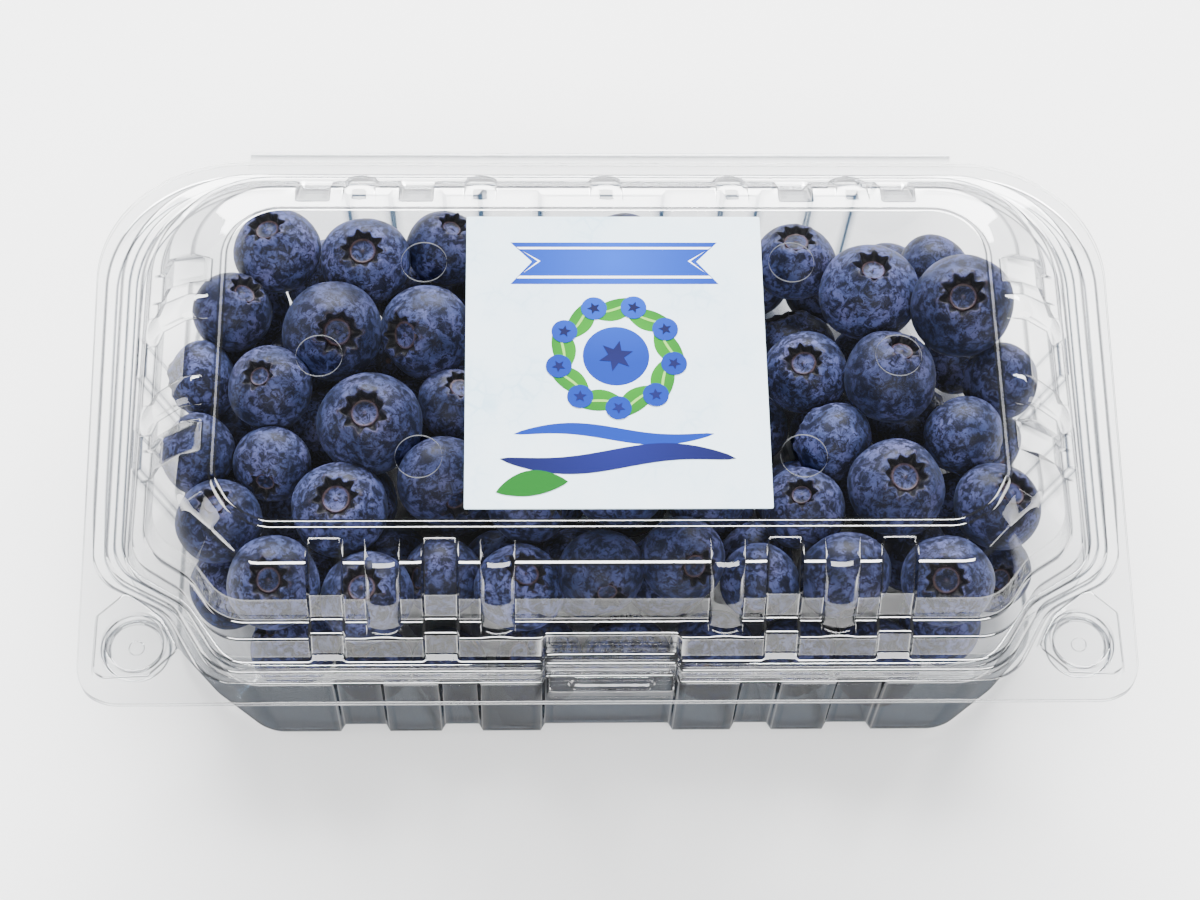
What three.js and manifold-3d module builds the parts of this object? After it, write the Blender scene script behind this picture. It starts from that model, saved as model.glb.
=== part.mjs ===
// A clear hinged punnet of blueberries, closed, with a square label on its lid.
// Millimetres, +Z up. The front, with the latch, faces -Y; the hinge is at +Y; the floor is Z = 0.

import * as THREE from 'three';
import { mergeVertices } from 'three/addons/utils/BufferGeometryUtils.js';
import Module from 'manifold-3d';

const wasm = await Module();
wasm.setup();

// ---- Driving dimensions -------------------------------------------------------------------

const WALL = 0.5;             // thickness of the formed film
const MID_Y = -1.1;           // middle of the tray and lid, in front of the hinge
const TRAY_FLANGE_Z = 23.3;   // underside of the tray's flange
const LID_FLANGE_Z = 24.1;    // underside of the lid's flange
const LID_TOP_Z = 43.2;       // flat panel on top of the lid
const HINGE_Y = 47.15;        // line that the lid turns about
const HINGE_Z = 23.95;
const HINGE_HALF = 57;        // half the length of the hinge
const HINGE_LIP = 46.6;       // both flanges reach back to here along the hinge
const LIP_ROOT = 44;          // and that strip starts here, inside the flange
const HINGE_RADIUS = 0.25;

// Ribs of the lid, all sides: round flutes and flat-faced slots, measured from the middle.
const FLUTE_HALF = 2.5;
const SLOT_HALF = 2.2;
const FRONT_FLUTES = [16.4, 32.8];
const FRONT_SLOTS = [24.6, 41];
const BACK_FLUTES = [0, 19.2, 37.6];
const BACK_SLOTS = [28.9, 44.6];
const SIDE_MIDDLE = 2.4;
const SIDE_FLUTES = [7.6];
const SIDE_SLOTS = [15.2];
const LATCH_HALF = 9.4;       // half the width of the latch block at the front

// Recesses in the tray's walls, from and to along the wall; the pads between them stand out.
const TRAY_LONG_RECESSES = [[0, 10.2], [18.9, 25.4], [33.1, 40.8]];
const TRAY_SIDE_RECESSES = [[4.4, 11.6]];
const TRAY_LONG_END = 44;     // straight stretch of the long walls, from the middle
const TRAY_SIDE_END = 16;
const RECESS_SLOPE = 0.8;     // width of the slope down into a recess

const VENT_RADIUS = 3.4;
const VENTS = [[27.5, 15.6], [42.6, -0.3], [27.8, -16.8]];   // right half, mirrored to the left
const BUTTON = { x: 69.3, y: -38.4, radius: 4.3, padRadius: 6.4, padRise: 1.3, depth: 2.4 };
const BUTTON_SIDES = 8;       // sides of the raised pad round a button
const SOCKET_ROOM = 0.7;      // the tray's socket is this much wider than the button
const LATCH = { front: -45.6, back: -42.4, drop: 0.2, pill: { inset: 7, depth: 1.4, rise: 0.6, shift: 0.3 } };
const LABEL = { width: 44.2, depth: 48.7, thick: 0.25, x: 0.9, y: -1, gap: 0.3 };

// Each level of a shell: height z, half width w, half depth h, front corner cut [x, y] with the
// bite that it takes inwards, rear corner radius, and how far the sides spread towards the back.
const LID_LEVELS = {
  panel: { z: LID_TOP_Z, w: 57, h: 25.9, cut: [7, 7], bite: -1.4, rear: 8 },
  rim: { z: 42.4, w: 57.8, h: 26.6, cut: [7.5, 7.5], bite: -1.4, rear: 8.6 },
  ribTop: { z: 42.1, w: 59.2, h: 28, cut: [8.5, 8.5], bite: -1.2, rear: 9.5 },
  crease: { z: 41.1, w: 62.4, h: 31.6, cut: [10, 10], bite: 0, rear: 12 },
  foot: { z: 31.9, w: 68, h: 36.6, cut: [11.5, 11.4], bite: 1.8, rear: 15 },
  stepTop: { z: 31.4, w: 70, h: 39.3, cut: [13, 12.6], bite: 1.8, rear: 18 },
  dentFoot: { z: 27.9, w: 71, h: 40.5, cut: [14.2, 13.8], bite: 2.3, rear: 20 },
  stepFoot: { z: 27.2, w: 71.3, h: 41.1, cut: [14.8, 14.4], bite: 2.6, rear: 21 },
  beadTop: { z: 26.9, w: 74, h: 42.6, cut: [16.6, 16], bite: 3.2, rear: 23 },
  flangeRoot: { z: LID_FLANGE_Z + WALL, w: 76.1, h: 43.2, cut: [17.3, 16.8], bite: 3.8, rear: 24 },
  flangeEdge: { z: LID_FLANGE_Z + WALL, w: 77.5, h: 46.3, cut: [4.6, 4.6], bite: -1.3, rear: 26 },
};
const TRAY_LEVELS = {
  floor: { z: 0, w: 65.5, h: 41.5, cut: [15, 14], bite: -1, rear: 16 },
  floorEdge: { z: 1.3, w: 66.6, h: 42.2, cut: [15, 14], bite: -1, rear: 17 },
  wallTop: { z: TRAY_FLANGE_Z, w: 71.6, h: 42.8, cut: [16.6, 16], bite: 2.4, rear: 21 },
  flangeEdge: { z: TRAY_FLANGE_Z, w: 77.5, h: 46.3, cut: [4.6, 4.6], bite: -1.3, rear: 26 },
  beadFoot: { z: TRAY_FLANGE_Z + WALL, w: 74.6, h: 42.2, cut: [17, 16.5], bite: 3.4, rear: 23 },
  beadTop: { z: 26.2, w: 73, h: 41.8, cut: [16.6, 16], bite: 3.2, rear: 22.5 },
  beadIn: { z: 26.2, w: 71.4, h: 40.7, cut: [16.6, 16], bite: 2.4, rear: 21 },
};
const FLARE = 0.00035;        // spread of the flange's sides towards the back, per mm
const FLARED = {              // share of that spread at each level
  stepFoot: 0.3, beadTop: 0.6, flangeRoot: 0.9, flangeEdge: 1, beadFoot: 0.9, beadIn: 0.6, wallTop: 0.6,
};

const CORNER_ROUND = 7;       // rounding of a front corner's three bends
const CORNER_STEPS = 3;
const REAR_STEPS = 5;
const END_GAP = 0.4;          // kept between the last rib's points and a corner
const DIAGONAL = 0.7;         // a corner's way out along X and along Y

// How far each kind of rib stands out of the wall at each level.
const FLUTE_PUSH = { crease: 2.2, foot: 1.3 };
const SLOT_PUSH = { crease: 1, foot: 0.6 };
const DENT_PUSH = { stepTop: -0.9, dentFoot: -0.5 };
const LATCH_PUSH = { stepTop: -0.7, dentFoot: -0.3 };
const RECESS_PUSH = { floor: -1, floorEdge: -1.2, wallTop: -1.2 };

// ---- Materials ----------------------------------------------------------------------------

const clearPet = new THREE.MeshStandardMaterial({
  name: 'clear_pet', color: 0xe9eef0, roughness: 0.08, metalness: 0, transparent: true, opacity: 0.3,
});
const hingeFilm = new THREE.MeshStandardMaterial({
  name: 'hinge_film', color: 0xe4e9ec, roughness: 0.15, metalness: 0, transparent: true, opacity: 0.4,
});
const labelPaper = new THREE.MeshStandardMaterial({
  name: 'label_paper', color: 0xe3f1fa, roughness: 0.45, metalness: 0,
});
const blueberrySkin = new THREE.MeshStandardMaterial({
  name: 'blueberry_skin', color: 0x2c3a66, roughness: 0.55, metalness: 0,
});

// ---- Outline of one level -----------------------------------------------------------------

// Points of the arc that rounds the corner b between a and c.
function fillet(a, b, c, radius, steps) {
  const toA = a.clone().sub(b);
  const toC = c.clone().sub(b);
  const half = Math.acos(THREE.MathUtils.clamp(toA.dot(toC) / toA.length() / toC.length(), -1, 1)) / 2;
  const room = 0.48 * Math.min(toA.length(), toC.length());
  const tangent = Math.min(radius / Math.tan(half), room);
  const r = tangent * Math.tan(half);
  const centre = toA.clone().normalize().add(toC.clone().normalize()).normalize()
    .multiplyScalar(r / Math.sin(half)).add(b);
  const from = toA.normalize().multiplyScalar(tangent).add(b).sub(centre);
  const to = toC.normalize().multiplyScalar(tangent).add(b).sub(centre);
  const sweep = Math.atan2(from.x * to.y - from.y * to.x, from.dot(to));
  return Array.from({ length: steps + 1 }, (_, i) =>
    from.clone().rotateAround(new THREE.Vector2(), (sweep * i) / steps).add(centre));
}

// Places along a wall where its ribs need points, from the middle out.
function ribPlaces(flutes, slots, extras = []) {
  const places = new Set(extras);
  for (const c of flutes) {
    for (const u of [-1, -0.5, 0.5, 1]) places.add(c + u * FLUTE_HALF);
  }
  for (const c of slots) {
    for (const u of [-1.25, -1, 1, 1.25]) places.add(c + u * SLOT_HALF);
  }
  return [...places].filter((p) => p >= 0).sort((p, q) => p - q);
}

const recessPlaces = (recesses, end) => [...new Set([0, end, ...recesses.flatMap(([from, to]) =>
  [from, from && from + RECESS_SLOPE, to - RECESS_SLOPE, to])])].sort((p, q) => p - q);

// Points stay on the straight stretch, however short it is at this level.
const squeeze = (places, room) => places.map((p) => p * Math.min(1, room / places[places.length - 1]));

// The right half of a level, from the middle of the front round to the middle of the back.
// Each point knows its wall, its place along it and the way out.
function halfOutline(level, name, plan) {
  const front = MID_Y - level.h;
  const back = MID_Y + level.h;
  const [cutX, cutY] = level.cut;
  const onFront = new THREE.Vector2(level.w - cutX, front);
  const onSide = new THREE.Vector2(level.w, front + cutY);
  const bite = onFront.clone().add(onSide).multiplyScalar(0.5);
  bite.add(new THREE.Vector2(-cutY, cutX).normalize().multiplyScalar(level.bite));
  const frontMiddle = new THREE.Vector2(0, front);
  const sideEnd = new THREE.Vector2(level.w, back - level.rear);
  const corner = [
    ...fillet(frontMiddle, onFront, bite, CORNER_ROUND, CORNER_STEPS),
    ...fillet(onFront, bite, onSide, CORNER_ROUND, CORNER_STEPS),
    ...fillet(bite, onSide, sideEnd, CORNER_ROUND, CORNER_STEPS),
  ];
  const rearCorner = fillet(new THREE.Vector2(level.w, 0), new THREE.Vector2(level.w, back),
    new THREE.Vector2(0, back), level.rear, REAR_STEPS);
  const frontRoom = corner[0].x;
  const sideStart = corner[corner.length - 1].y;
  const points = [];
  squeeze(plan.front, frontRoom - END_GAP).forEach((x, i) =>
    points.push({ wall: 'front', at: plan.front[i], x, y: front, nx: 0, ny: -1 }));
  corner.forEach((p) => points.push({
    wall: 'corner', at: 0, x: p.x, y: p.y, nx: DIAGONAL, ny: -DIAGONAL }));
  const low = squeeze(plan.side, SIDE_MIDDLE - sideStart - END_GAP).reverse();
  low.forEach((d, i) => points.push({
    wall: 'side', at: plan.side[low.length - 1 - i], x: level.w, y: SIDE_MIDDLE - d, nx: 1, ny: 0 }));
  squeeze(plan.side, sideEnd.y - SIDE_MIDDLE - END_GAP).forEach((d, i) => points.push({
    wall: 'side', at: plan.side[i], x: level.w, y: SIDE_MIDDLE + d, nx: 1, ny: 0 }));
  rearCorner.forEach((p) => points.push({
    wall: 'corner', at: 0, x: p.x, y: p.y, nx: DIAGONAL, ny: DIAGONAL }));
  squeeze(plan.back, level.w - level.rear - END_GAP).map((x, i) =>
    ({ wall: 'back', at: plan.back[i], x, y: back, nx: 0, ny: 1 })).reverse().forEach((p) => points.push(p));
  for (const p of points) {
    const push = plan.push(name, p.wall, p.at);
    p.x += p.nx * push;
    p.y += p.ny * push;
    p.x *= 1 + FLARE * (FLARED[name] ?? 0) * (p.y - front);
  }
  return points;
}

// The whole level as a closed ring of points, counter-clockwise seen from above.
function ring(level, name, plan) {
  const half = halfOutline(level, name, plan);
  const left = half.filter((p) => p.x > 1e-6).reverse().map((p) => ({ x: -p.x, y: p.y }));
  return [...half, ...left].map((p) => [p.x, p.y, level.z]);
}

// ---- Shells -------------------------------------------------------------------------------

// A closed solid from rings of equal count, with a fan at each end.
function loft(rings) {
  const count = rings[0].length;
  const positions = rings.flat(2);
  const middle = (z) => [0, MID_Y, z];
  const first = rings.length * count;
  positions.push(...middle(rings[0][0][2]), ...middle(rings[rings.length - 1][0][2]));
  const faces = [];
  for (let i = 0; i < count; i++) {
    const j = (i + 1) % count;
    faces.push(first, i, j);
    for (let k = 0; k + 1 < rings.length; k++) {
      const a = k * count;
      const b = a + count;
      faces.push(a + i, b + i, b + j, a + i, b + j, a + j);
    }
    const last = (rings.length - 1) * count;
    faces.push(first + 1, last + j, last + i);
  }
  const geometry = new THREE.BufferGeometry();
  geometry.setAttribute('position', new THREE.Float32BufferAttribute(positions, 3));
  geometry.setIndex(faces);
  return geometry;
}

function toManifold(geometry) {
  const bare = geometry.clone();
  bare.deleteAttribute('normal');
  bare.deleteAttribute('uv');
  const merged = mergeVertices(bare, 1e-4);
  return new wasm.Manifold(new wasm.Mesh({
    numProp: 3,
    vertProperties: new Float32Array(merged.attributes.position.array),
    triVerts: new Uint32Array(merged.index.array),
  }));
}

function toGeometry(solid) {
  const mesh = solid.getMesh();
  const geometry = new THREE.BufferGeometry();
  geometry.setAttribute('position', new THREE.BufferAttribute(new Float32Array(mesh.vertProperties), 3));
  geometry.setIndex(new THREE.BufferAttribute(new Uint32Array(mesh.triVerts), 1));
  const flat = geometry.toNonIndexed();
  flat.computeVertexNormals();
  return flat;
}

// The level moved inwards and up or down, for the far face of the film.
const inside = (level, dw, dz) => ({ ...level, w: level.w - dw, h: level.h - dw, z: level.z + dz });

function place(geometry, x, y, z) {
  return toManifold(geometry.clone().translate(x, y, z));
}

// An upright cylinder or cone from z0 up to z1.
function upright(bottomRadius, topRadius, x, y, z0, z1, sides = 20) {
  const geometry = new THREE.CylinderGeometry(topRadius, bottomRadius, z1 - z0, sides);
  return place(geometry.rotateX(Math.PI / 2), x, y, (z0 + z1) / 2);
}

const block = (width, depth, height, x, y, z) =>
  place(new THREE.BoxGeometry(width, depth, height), x, y, z + height / 2);

// The strip of flange that reaches back to the hinge.
const hingeStrip = (z) =>
  block(2 * HINGE_HALF, HINGE_LIP - LIP_ROOT, WALL, 0, (HINGE_LIP + LIP_ROOT) / 2, z);

const lidPlan = {
  front: ribPlaces(FRONT_FLUTES, FRONT_SLOTS, [0, LATCH_HALF, LATCH_HALF + 0.8]),
  side: ribPlaces(SIDE_FLUTES, SIDE_SLOTS, [0]),
  back: ribPlaces(BACK_FLUTES, BACK_SLOTS),
  push(name, wall, at) {
    if (wall === 'corner') return 0;
    const flutes = { front: FRONT_FLUTES, side: SIDE_FLUTES, back: BACK_FLUTES }[wall];
    const slots = { front: FRONT_SLOTS, side: SIDE_SLOTS, back: BACK_SLOTS }[wall];
    const flute = flutes.find((c) => Math.abs(at - c) < FLUTE_HALF);
    if (flute !== undefined) {
      return (FLUTE_PUSH[name] ?? 0) * Math.sqrt(1 - ((at - flute) / FLUTE_HALF) ** 2);
    }
    if (slots.some((c) => Math.abs(at - c) < SLOT_HALF + 0.01)) {
      return (SLOT_PUSH[name] ?? 0) + (wall === 'front' ? DENT_PUSH[name] ?? 0 : 0);
    }
    if (wall === 'front' && at < LATCH_HALF + 0.01) return LATCH_PUSH[name] ?? 0;
    return 0;
  },
};

const trayPlan = {
  front: recessPlaces(TRAY_LONG_RECESSES, TRAY_LONG_END),
  side: recessPlaces(TRAY_SIDE_RECESSES, TRAY_SIDE_END),
  back: recessPlaces(TRAY_LONG_RECESSES, TRAY_LONG_END),
  push(name, wall, at) {
    if (wall === 'corner') return 0;
    const recesses = wall === 'side' ? TRAY_SIDE_RECESSES : TRAY_LONG_RECESSES;
    const sunk = recesses.some(([from, to]) =>
      (from === 0 || at > from + RECESS_SLOPE - 0.01) && at < to - RECESS_SLOPE + 0.01);
    return sunk ? RECESS_PUSH[name] ?? 0 : 0;
  },
};

const lidRing = (name, dw = 0, dz = 0) => ring(inside(LID_LEVELS[name], dw, dz), name, lidPlan);
const trayRing = (name, dw = 0, dz = 0) => ring(inside(TRAY_LEVELS[name], dw, dz), name, trayPlan);

function buildLid() {
  const outer = ['panel', 'rim', 'ribTop', 'crease', 'foot', 'stepTop', 'dentFoot', 'stepFoot',
    'beadTop', 'flangeRoot', 'flangeEdge'].map((name) => lidRing(name));
  const t = WALL;
  const inner = [
    lidRing('flangeEdge', 0, -t), lidRing('flangeRoot', t, -t), lidRing('beadTop', t, -t),
    lidRing('stepFoot', t, -t), lidRing('dentFoot', t, -t / 2), lidRing('stepTop', t, -t),
    lidRing('foot', t, -t), lidRing('crease', t, -t), lidRing('ribTop', t, -t), lidRing('rim', t, -t),
    lidRing('panel', t, -t),
  ];
  let lid = toManifold(loft([...outer, ...inner])).add(hingeStrip(LID_FLANGE_Z));
  for (const side of [-1, 1]) {
    for (const [x, y] of VENTS) {
      lid = lid.subtract(upright(VENT_RADIUS, VENT_RADIUS, side * x, y, LID_TOP_Z - 2, LID_TOP_Z + 1, 16));
    }
    const { x, y, radius, padRadius, padRise, depth } = BUTTON;
    const top = LID_FLANGE_Z + t + padRise;
    const hollow = upright(padRadius + 0.2, padRadius - 0.8, side * x, y, LID_FLANGE_Z - 0.01, top - t,
      BUTTON_SIDES);
    const cup = upright(radius - 0.3 + t, radius + t, side * x, y, top - depth, top);
    const bore = upright(radius - 0.3, radius, side * x, y, top - depth + t, top + 1);
    lid = lid.add(upright(padRadius + 0.6, padRadius - 0.4, side * x, y, LID_FLANGE_Z, top, BUTTON_SIDES));
    lid = lid.subtract(hollow).add(cup).subtract(bore);
  }
  const { pill } = LATCH;
  const latchTop = LID_LEVELS.beadTop.z - LATCH.drop;
  const latchDepth = LATCH.back - LATCH.front;
  const latchY = MID_Y + (LATCH.back + LATCH.front) / 2;
  lid = lid.add(block(2 * LATCH_HALF, latchDepth, latchTop - LID_FLANGE_Z, 0, latchY, LID_FLANGE_Z));
  lid = lid.add(block(2 * LATCH_HALF - pill.inset, pill.depth, pill.rise, 0, latchY - pill.shift,
    latchTop - 0.1));
  return lid.subtract(block(2 * LATCH_HALF - 2 * t, latchDepth, latchTop - LID_FLANGE_Z - t + 1,
    0, latchY + t, LID_FLANGE_Z - 1));
}

function buildTray() {
  const t = WALL;
  const rings = [
    trayRing('floor'), trayRing('floorEdge'), trayRing('wallTop'), trayRing('flangeEdge'),
    trayRing('flangeEdge', 0, t), trayRing('beadFoot'), trayRing('beadTop'),
    trayRing('beadIn'), trayRing('beadIn', 0, TRAY_FLANGE_Z - TRAY_LEVELS.beadIn.z),
    trayRing('wallTop', t, -t), trayRing('floorEdge', t, 0), trayRing('floor', t, t),
  ].reverse();
  let tray = toManifold(loft(rings)).add(hingeStrip(TRAY_FLANGE_Z));
  for (const side of [-1, 1]) {
    const { x, y, radius, padRise, depth } = BUTTON;
    const floor = LID_FLANGE_Z + t + padRise - depth - 0.4 - t;
    const wide = radius + SOCKET_ROOM;
    const outer = upright(wide + t, wide + t + 0.3, side * x, y, floor, TRAY_FLANGE_Z + t);
    const bore = upright(wide, wide + 0.3, side * x, y, floor + t, TRAY_FLANGE_Z + 1);
    tray = tray.add(outer).subtract(bore);
  }
  return tray;
}

// ---- Blueberries --------------------------------------------------------------------------

// The berries that show from above: place, height of the middle and diameter.
const UPPER = [
  [-51.9, 31.1, 17.2, 14], [-39.1, 29.9, 13.8, 14], [-25.4, 32.5, 14, 12.4], [-43.6, 15, 20.7, 15.6],
  [-28, 16.4, 19.8, 14.8], [-51.9, 4.1, 18.9, 12.8], [-36.3, -0.4, 21.5, 15.6], [-23.9, 4.9, 16.3, 12],
  [-54.4, -2.6, 14.6, 12], [-58.9, 20.1, 13.8, 12.8], [-40.6, -14.2, 19.8, 14.2], [-59.1, -15.5, 17.2, 13],
  [-50.2, -26.8, 19.8, 13.8], [-35.3, -28.2, 18.9, 13.8], [-25.1, -9.4, 18.1, 13.8],
  [-24.5, -24, 13.5, 12.4], [-13.6, -26, 16, 13.2], [-2.5, -24.6, 17.2, 12.8], [10.1, -23, 17.2, 12.8],
  [-12, -12, 18, 13.4], [2, -10, 18.6, 14.2], [15.5, -11, 17.6, 13], [-10, 4, 18.4, 14.6],
  [6, 4.5, 17.8, 13.2], [19, 3, 18.6, 13.8], [-13, 18, 17.2, 13.6], [1, 19, 18.4, 14.8], [16, 17.5, 17.4, 13],
  [-11, 31, 14, 13], [4, 32, 13.6, 12.4], [18, 31, 14, 13.2],
  [31.1, 30.5, 16.3, 13], [43.1, 23.1, 20.7, 15.6], [57.4, 16.4, 20.7, 15.8], [31.8, 10.6, 17.2, 13],
  [45, 7.5, 18.9, 14.4], [56.5, 0.3, 16.3, 13], [35.4, -2.4, 15.5, 12.6], [52.4, 29.8, 12, 12],
  [66.5, 9.5, 13.8, 12.2], [44.3, -11.3, 20.7, 15], [30.5, -14, 17.2, 12.8], [60.1, -13.6, 18.9, 13.6],
  [51.1, -26.8, 19.8, 13.8], [35.7, -24.3, 17.2, 13.6], [23.2, -24.4, 14, 12],
  [-62, 9.5, 13.8, 12], [-63.5, -4, 15.5, 12],
];
const LOWER_PITCH = 13.6;     // spacing of the berries on the floor
const LOWER_ROWS = 6;
const LOWER_COLUMNS = 10;
const ROW_SQUEEZE = 0.97;     // rows lie closer than berries in a row
const LOWER_STRAY = 1.6;      // how far a berry strays from its place in the row
const LOWER_Z = 7;
const LOWER_REACH = 94;       // |x| + |y| beyond which a row has no room for a berry
const LOWER_SIZES = [11.4, 14.2];
const UPPER_FREE = 0.25;      // berries that show give way this much to one below
const SEED = 2207;
const PASSES = 90;
const PRESS = 0.965;          // berries that touch press into each other by this much
const BERRY_GAP = 0.8;        // clear of the tray all round
const BALL_SWELL = 1.05;      // a ball with few sides is drawn this much larger, to keep its bulk
const CORE = { width: 114, depth: 66, bottom: 3, top: 17.4 };
const BERRY_ROOM = { w: 65.4, h: 40.6, frontCut: 20, rearCut: 15, floor: 0.5, slope: 0.2 };

function seededDraws(seed) {
  let state = seed;
  return () => {
    state = (state * 1664525 + 1013904223) % 4294967296;
    return state / 4294967296;
  };
}

// Keeps one berry inside the tray: off the floor, the walls and the cut corners.
function keepInside(berry) {
  const { w, h, frontCut, rearCut, floor, slope } = BERRY_ROOM;
  berry.z = Math.max(berry.z, floor + BERRY_GAP + berry.r);
  const reachX = w + slope * berry.z - BERRY_GAP - berry.r;
  const reachY = h + 0.02 * berry.z - BERRY_GAP - berry.r;
  berry.x = THREE.MathUtils.clamp(berry.x, -reachX, reachX);
  berry.y = THREE.MathUtils.clamp(berry.y, MID_Y - reachY, MID_Y + reachY);
  const side = Math.sign(berry.x) || 1;
  const end = Math.sign(berry.y - MID_Y) || 1;
  const cut = end < 0 ? frontCut : rearCut;
  const cornerRoom = w + slope * berry.z + h - cut - (BERRY_GAP + berry.r) * Math.SQRT2;
  const over = Math.abs(berry.x) + Math.abs(berry.y - MID_Y) - cornerRoom;
  if (over > 0) {
    berry.x -= (side * over) / 2;
    berry.y -= (end * over) / 2;
  }
}

// Rows on the floor under the berries that show, then all pushed apart until none overlaps much.
function packBerries() {
  const draw = seededDraws(SEED);
  const berries = UPPER.map(([x, y, z, d]) => ({ x, y, z, r: d / 2, free: UPPER_FREE }));
  for (let row = 0; row < LOWER_ROWS; row++) {
    for (let column = 0; column < LOWER_COLUMNS; column++) {
      const [acrossRow, alongRow] = [row - (LOWER_ROWS - 1) / 2, column - (LOWER_COLUMNS - 1) / 2];
      const x = (alongRow + 0.5 * (row % 2) - 0.25) * LOWER_PITCH + LOWER_STRAY * (draw() - 0.5);
      const y = MID_Y + acrossRow * LOWER_PITCH * ROW_SQUEEZE + LOWER_STRAY * (draw() - 0.5);
      const r = (LOWER_SIZES[0] + (LOWER_SIZES[1] - LOWER_SIZES[0]) * draw()) / 2;
      if (Math.abs(x) + Math.abs(y - MID_Y) < LOWER_REACH) berries.push({ x, y, z: LOWER_Z, r, free: 1 });
    }
  }
  for (let pass = 0; pass < PASSES; pass++) {
    for (let i = 0; i < berries.length; i++) {
      for (let j = i + 1; j < berries.length; j++) {
        const a = berries[i];
        const b = berries[j];
        const [dx, dy, dz] = [b.x - a.x, b.y - a.y, b.z - a.z];
        const far = Math.hypot(dx, dy, dz) || 1e-6;
        const overlap = PRESS * (a.r + b.r) - far;
        if (overlap <= 0) continue;
        const share = (0.5 * overlap) / far;
        const [sa, sb] = [a.free / (a.free + b.free), b.free / (a.free + b.free)];
        a.x -= dx * share * sa;
        a.y -= dy * share * sa;
        a.z -= dz * share * 0.5;
        b.x += dx * share * sb;
        b.y += dy * share * sb;
        b.z += dz * share * 0.5;
      }
    }
    berries.forEach(keepInside);
  }
  return berries;
}

// Low round berries joined to a core that fills the spaces between them.
function buildBerries() {
  const core = new THREE.BoxGeometry(CORE.width, CORE.depth, CORE.top - CORE.bottom);
  let heap = place(core, 0, MID_Y, (CORE.top + CORE.bottom) / 2);
  for (const { x, y, z, r } of packBerries()) {
    const ball = new THREE.SphereGeometry(BALL_SWELL * r, 6, 4).rotateX(Math.PI / 2).rotateZ(x + 2 * y);
    heap = heap.add(place(ball, x, y, z));
  }
  return heap;
}

// ---- The parts ----------------------------------------------------------------------------

function part(name, geometry, material) {
  const mesh = new THREE.Mesh(geometry, material);
  mesh.name = name;
  return mesh;
}

const punnet = new THREE.Group();
punnet.name = 'blueberry_punnet';

const hingeRod = new THREE.CylinderGeometry(HINGE_RADIUS, HINGE_RADIUS, 2 * HINGE_HALF - 1, 8)
  .rotateZ(Math.PI / 2);
const hinge = part('hinge', hingeRod, hingeFilm);
hinge.position.set(0, HINGE_Y, HINGE_Z);

const labelPlate = new THREE.BoxGeometry(LABEL.width, LABEL.depth, LABEL.thick);
const label = part('label', labelPlate, labelPaper);
label.position.set(LABEL.x, LABEL.y, LID_TOP_Z + LABEL.gap + LABEL.thick / 2);

const lidGroup = new THREE.Group();
lidGroup.add(part('lid', toGeometry(buildLid()), clearPet), label);

punnet.add(part('tray', toGeometry(buildTray()), clearPet), hinge, lidGroup);
punnet.add(part('berries', toGeometry(buildBerries()), blueberrySkin));

export default punnet;
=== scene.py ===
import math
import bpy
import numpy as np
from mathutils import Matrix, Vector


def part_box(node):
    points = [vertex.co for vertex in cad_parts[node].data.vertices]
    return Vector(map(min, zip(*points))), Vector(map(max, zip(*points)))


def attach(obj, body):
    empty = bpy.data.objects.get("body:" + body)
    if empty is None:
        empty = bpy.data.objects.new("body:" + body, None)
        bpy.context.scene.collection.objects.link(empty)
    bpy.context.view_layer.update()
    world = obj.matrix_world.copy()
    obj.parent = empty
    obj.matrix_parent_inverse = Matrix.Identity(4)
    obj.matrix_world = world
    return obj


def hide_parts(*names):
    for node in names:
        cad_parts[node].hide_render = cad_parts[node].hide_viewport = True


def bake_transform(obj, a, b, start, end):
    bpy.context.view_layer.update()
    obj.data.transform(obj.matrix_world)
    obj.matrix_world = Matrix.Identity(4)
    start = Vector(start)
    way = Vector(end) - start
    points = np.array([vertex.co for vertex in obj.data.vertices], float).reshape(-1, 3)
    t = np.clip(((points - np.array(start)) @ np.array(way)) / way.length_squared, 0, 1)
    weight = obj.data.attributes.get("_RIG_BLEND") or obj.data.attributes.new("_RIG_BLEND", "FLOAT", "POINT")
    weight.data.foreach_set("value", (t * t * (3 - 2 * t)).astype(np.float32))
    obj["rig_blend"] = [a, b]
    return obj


bl_info = {
    "name": "Blueberry Punnet",
    "version": (1, 0, 0),
    "blender": (4, 5, 0),
    "location": "View3D > Sidebar > Punnet",
    "description": "A clear hinged punnet of blueberries with a paper label",
    "category": "Add Mesh",
}

import bmesh
import bpy
from mathutils import Matrix, Vector, noise

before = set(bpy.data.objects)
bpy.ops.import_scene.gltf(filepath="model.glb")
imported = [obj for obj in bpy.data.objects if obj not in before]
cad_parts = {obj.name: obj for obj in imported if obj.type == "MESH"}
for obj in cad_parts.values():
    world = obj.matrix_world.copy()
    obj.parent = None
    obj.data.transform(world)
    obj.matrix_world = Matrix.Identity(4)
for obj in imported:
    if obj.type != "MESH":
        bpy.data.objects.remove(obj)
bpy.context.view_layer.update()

MM = 0.001
TAU = 2 * math.pi

# ---- Sizes in millimetres

MID_Y = -1.1
TRAY_FLANGE_Z = 23.3
LID_FLANGE_Z = 24.1
LID_TOP_Z = 43.2
WALL = 0.5
HINGE_HALF = 57
HINGE_LIP = 46.6
HINGE_TAPER = 0.6
LIP_ROOT = 44.2  # where the strip of flange that leads to the fold begins
SKIN_GAP = 0.02  # between two skins that would share a plane

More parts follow.
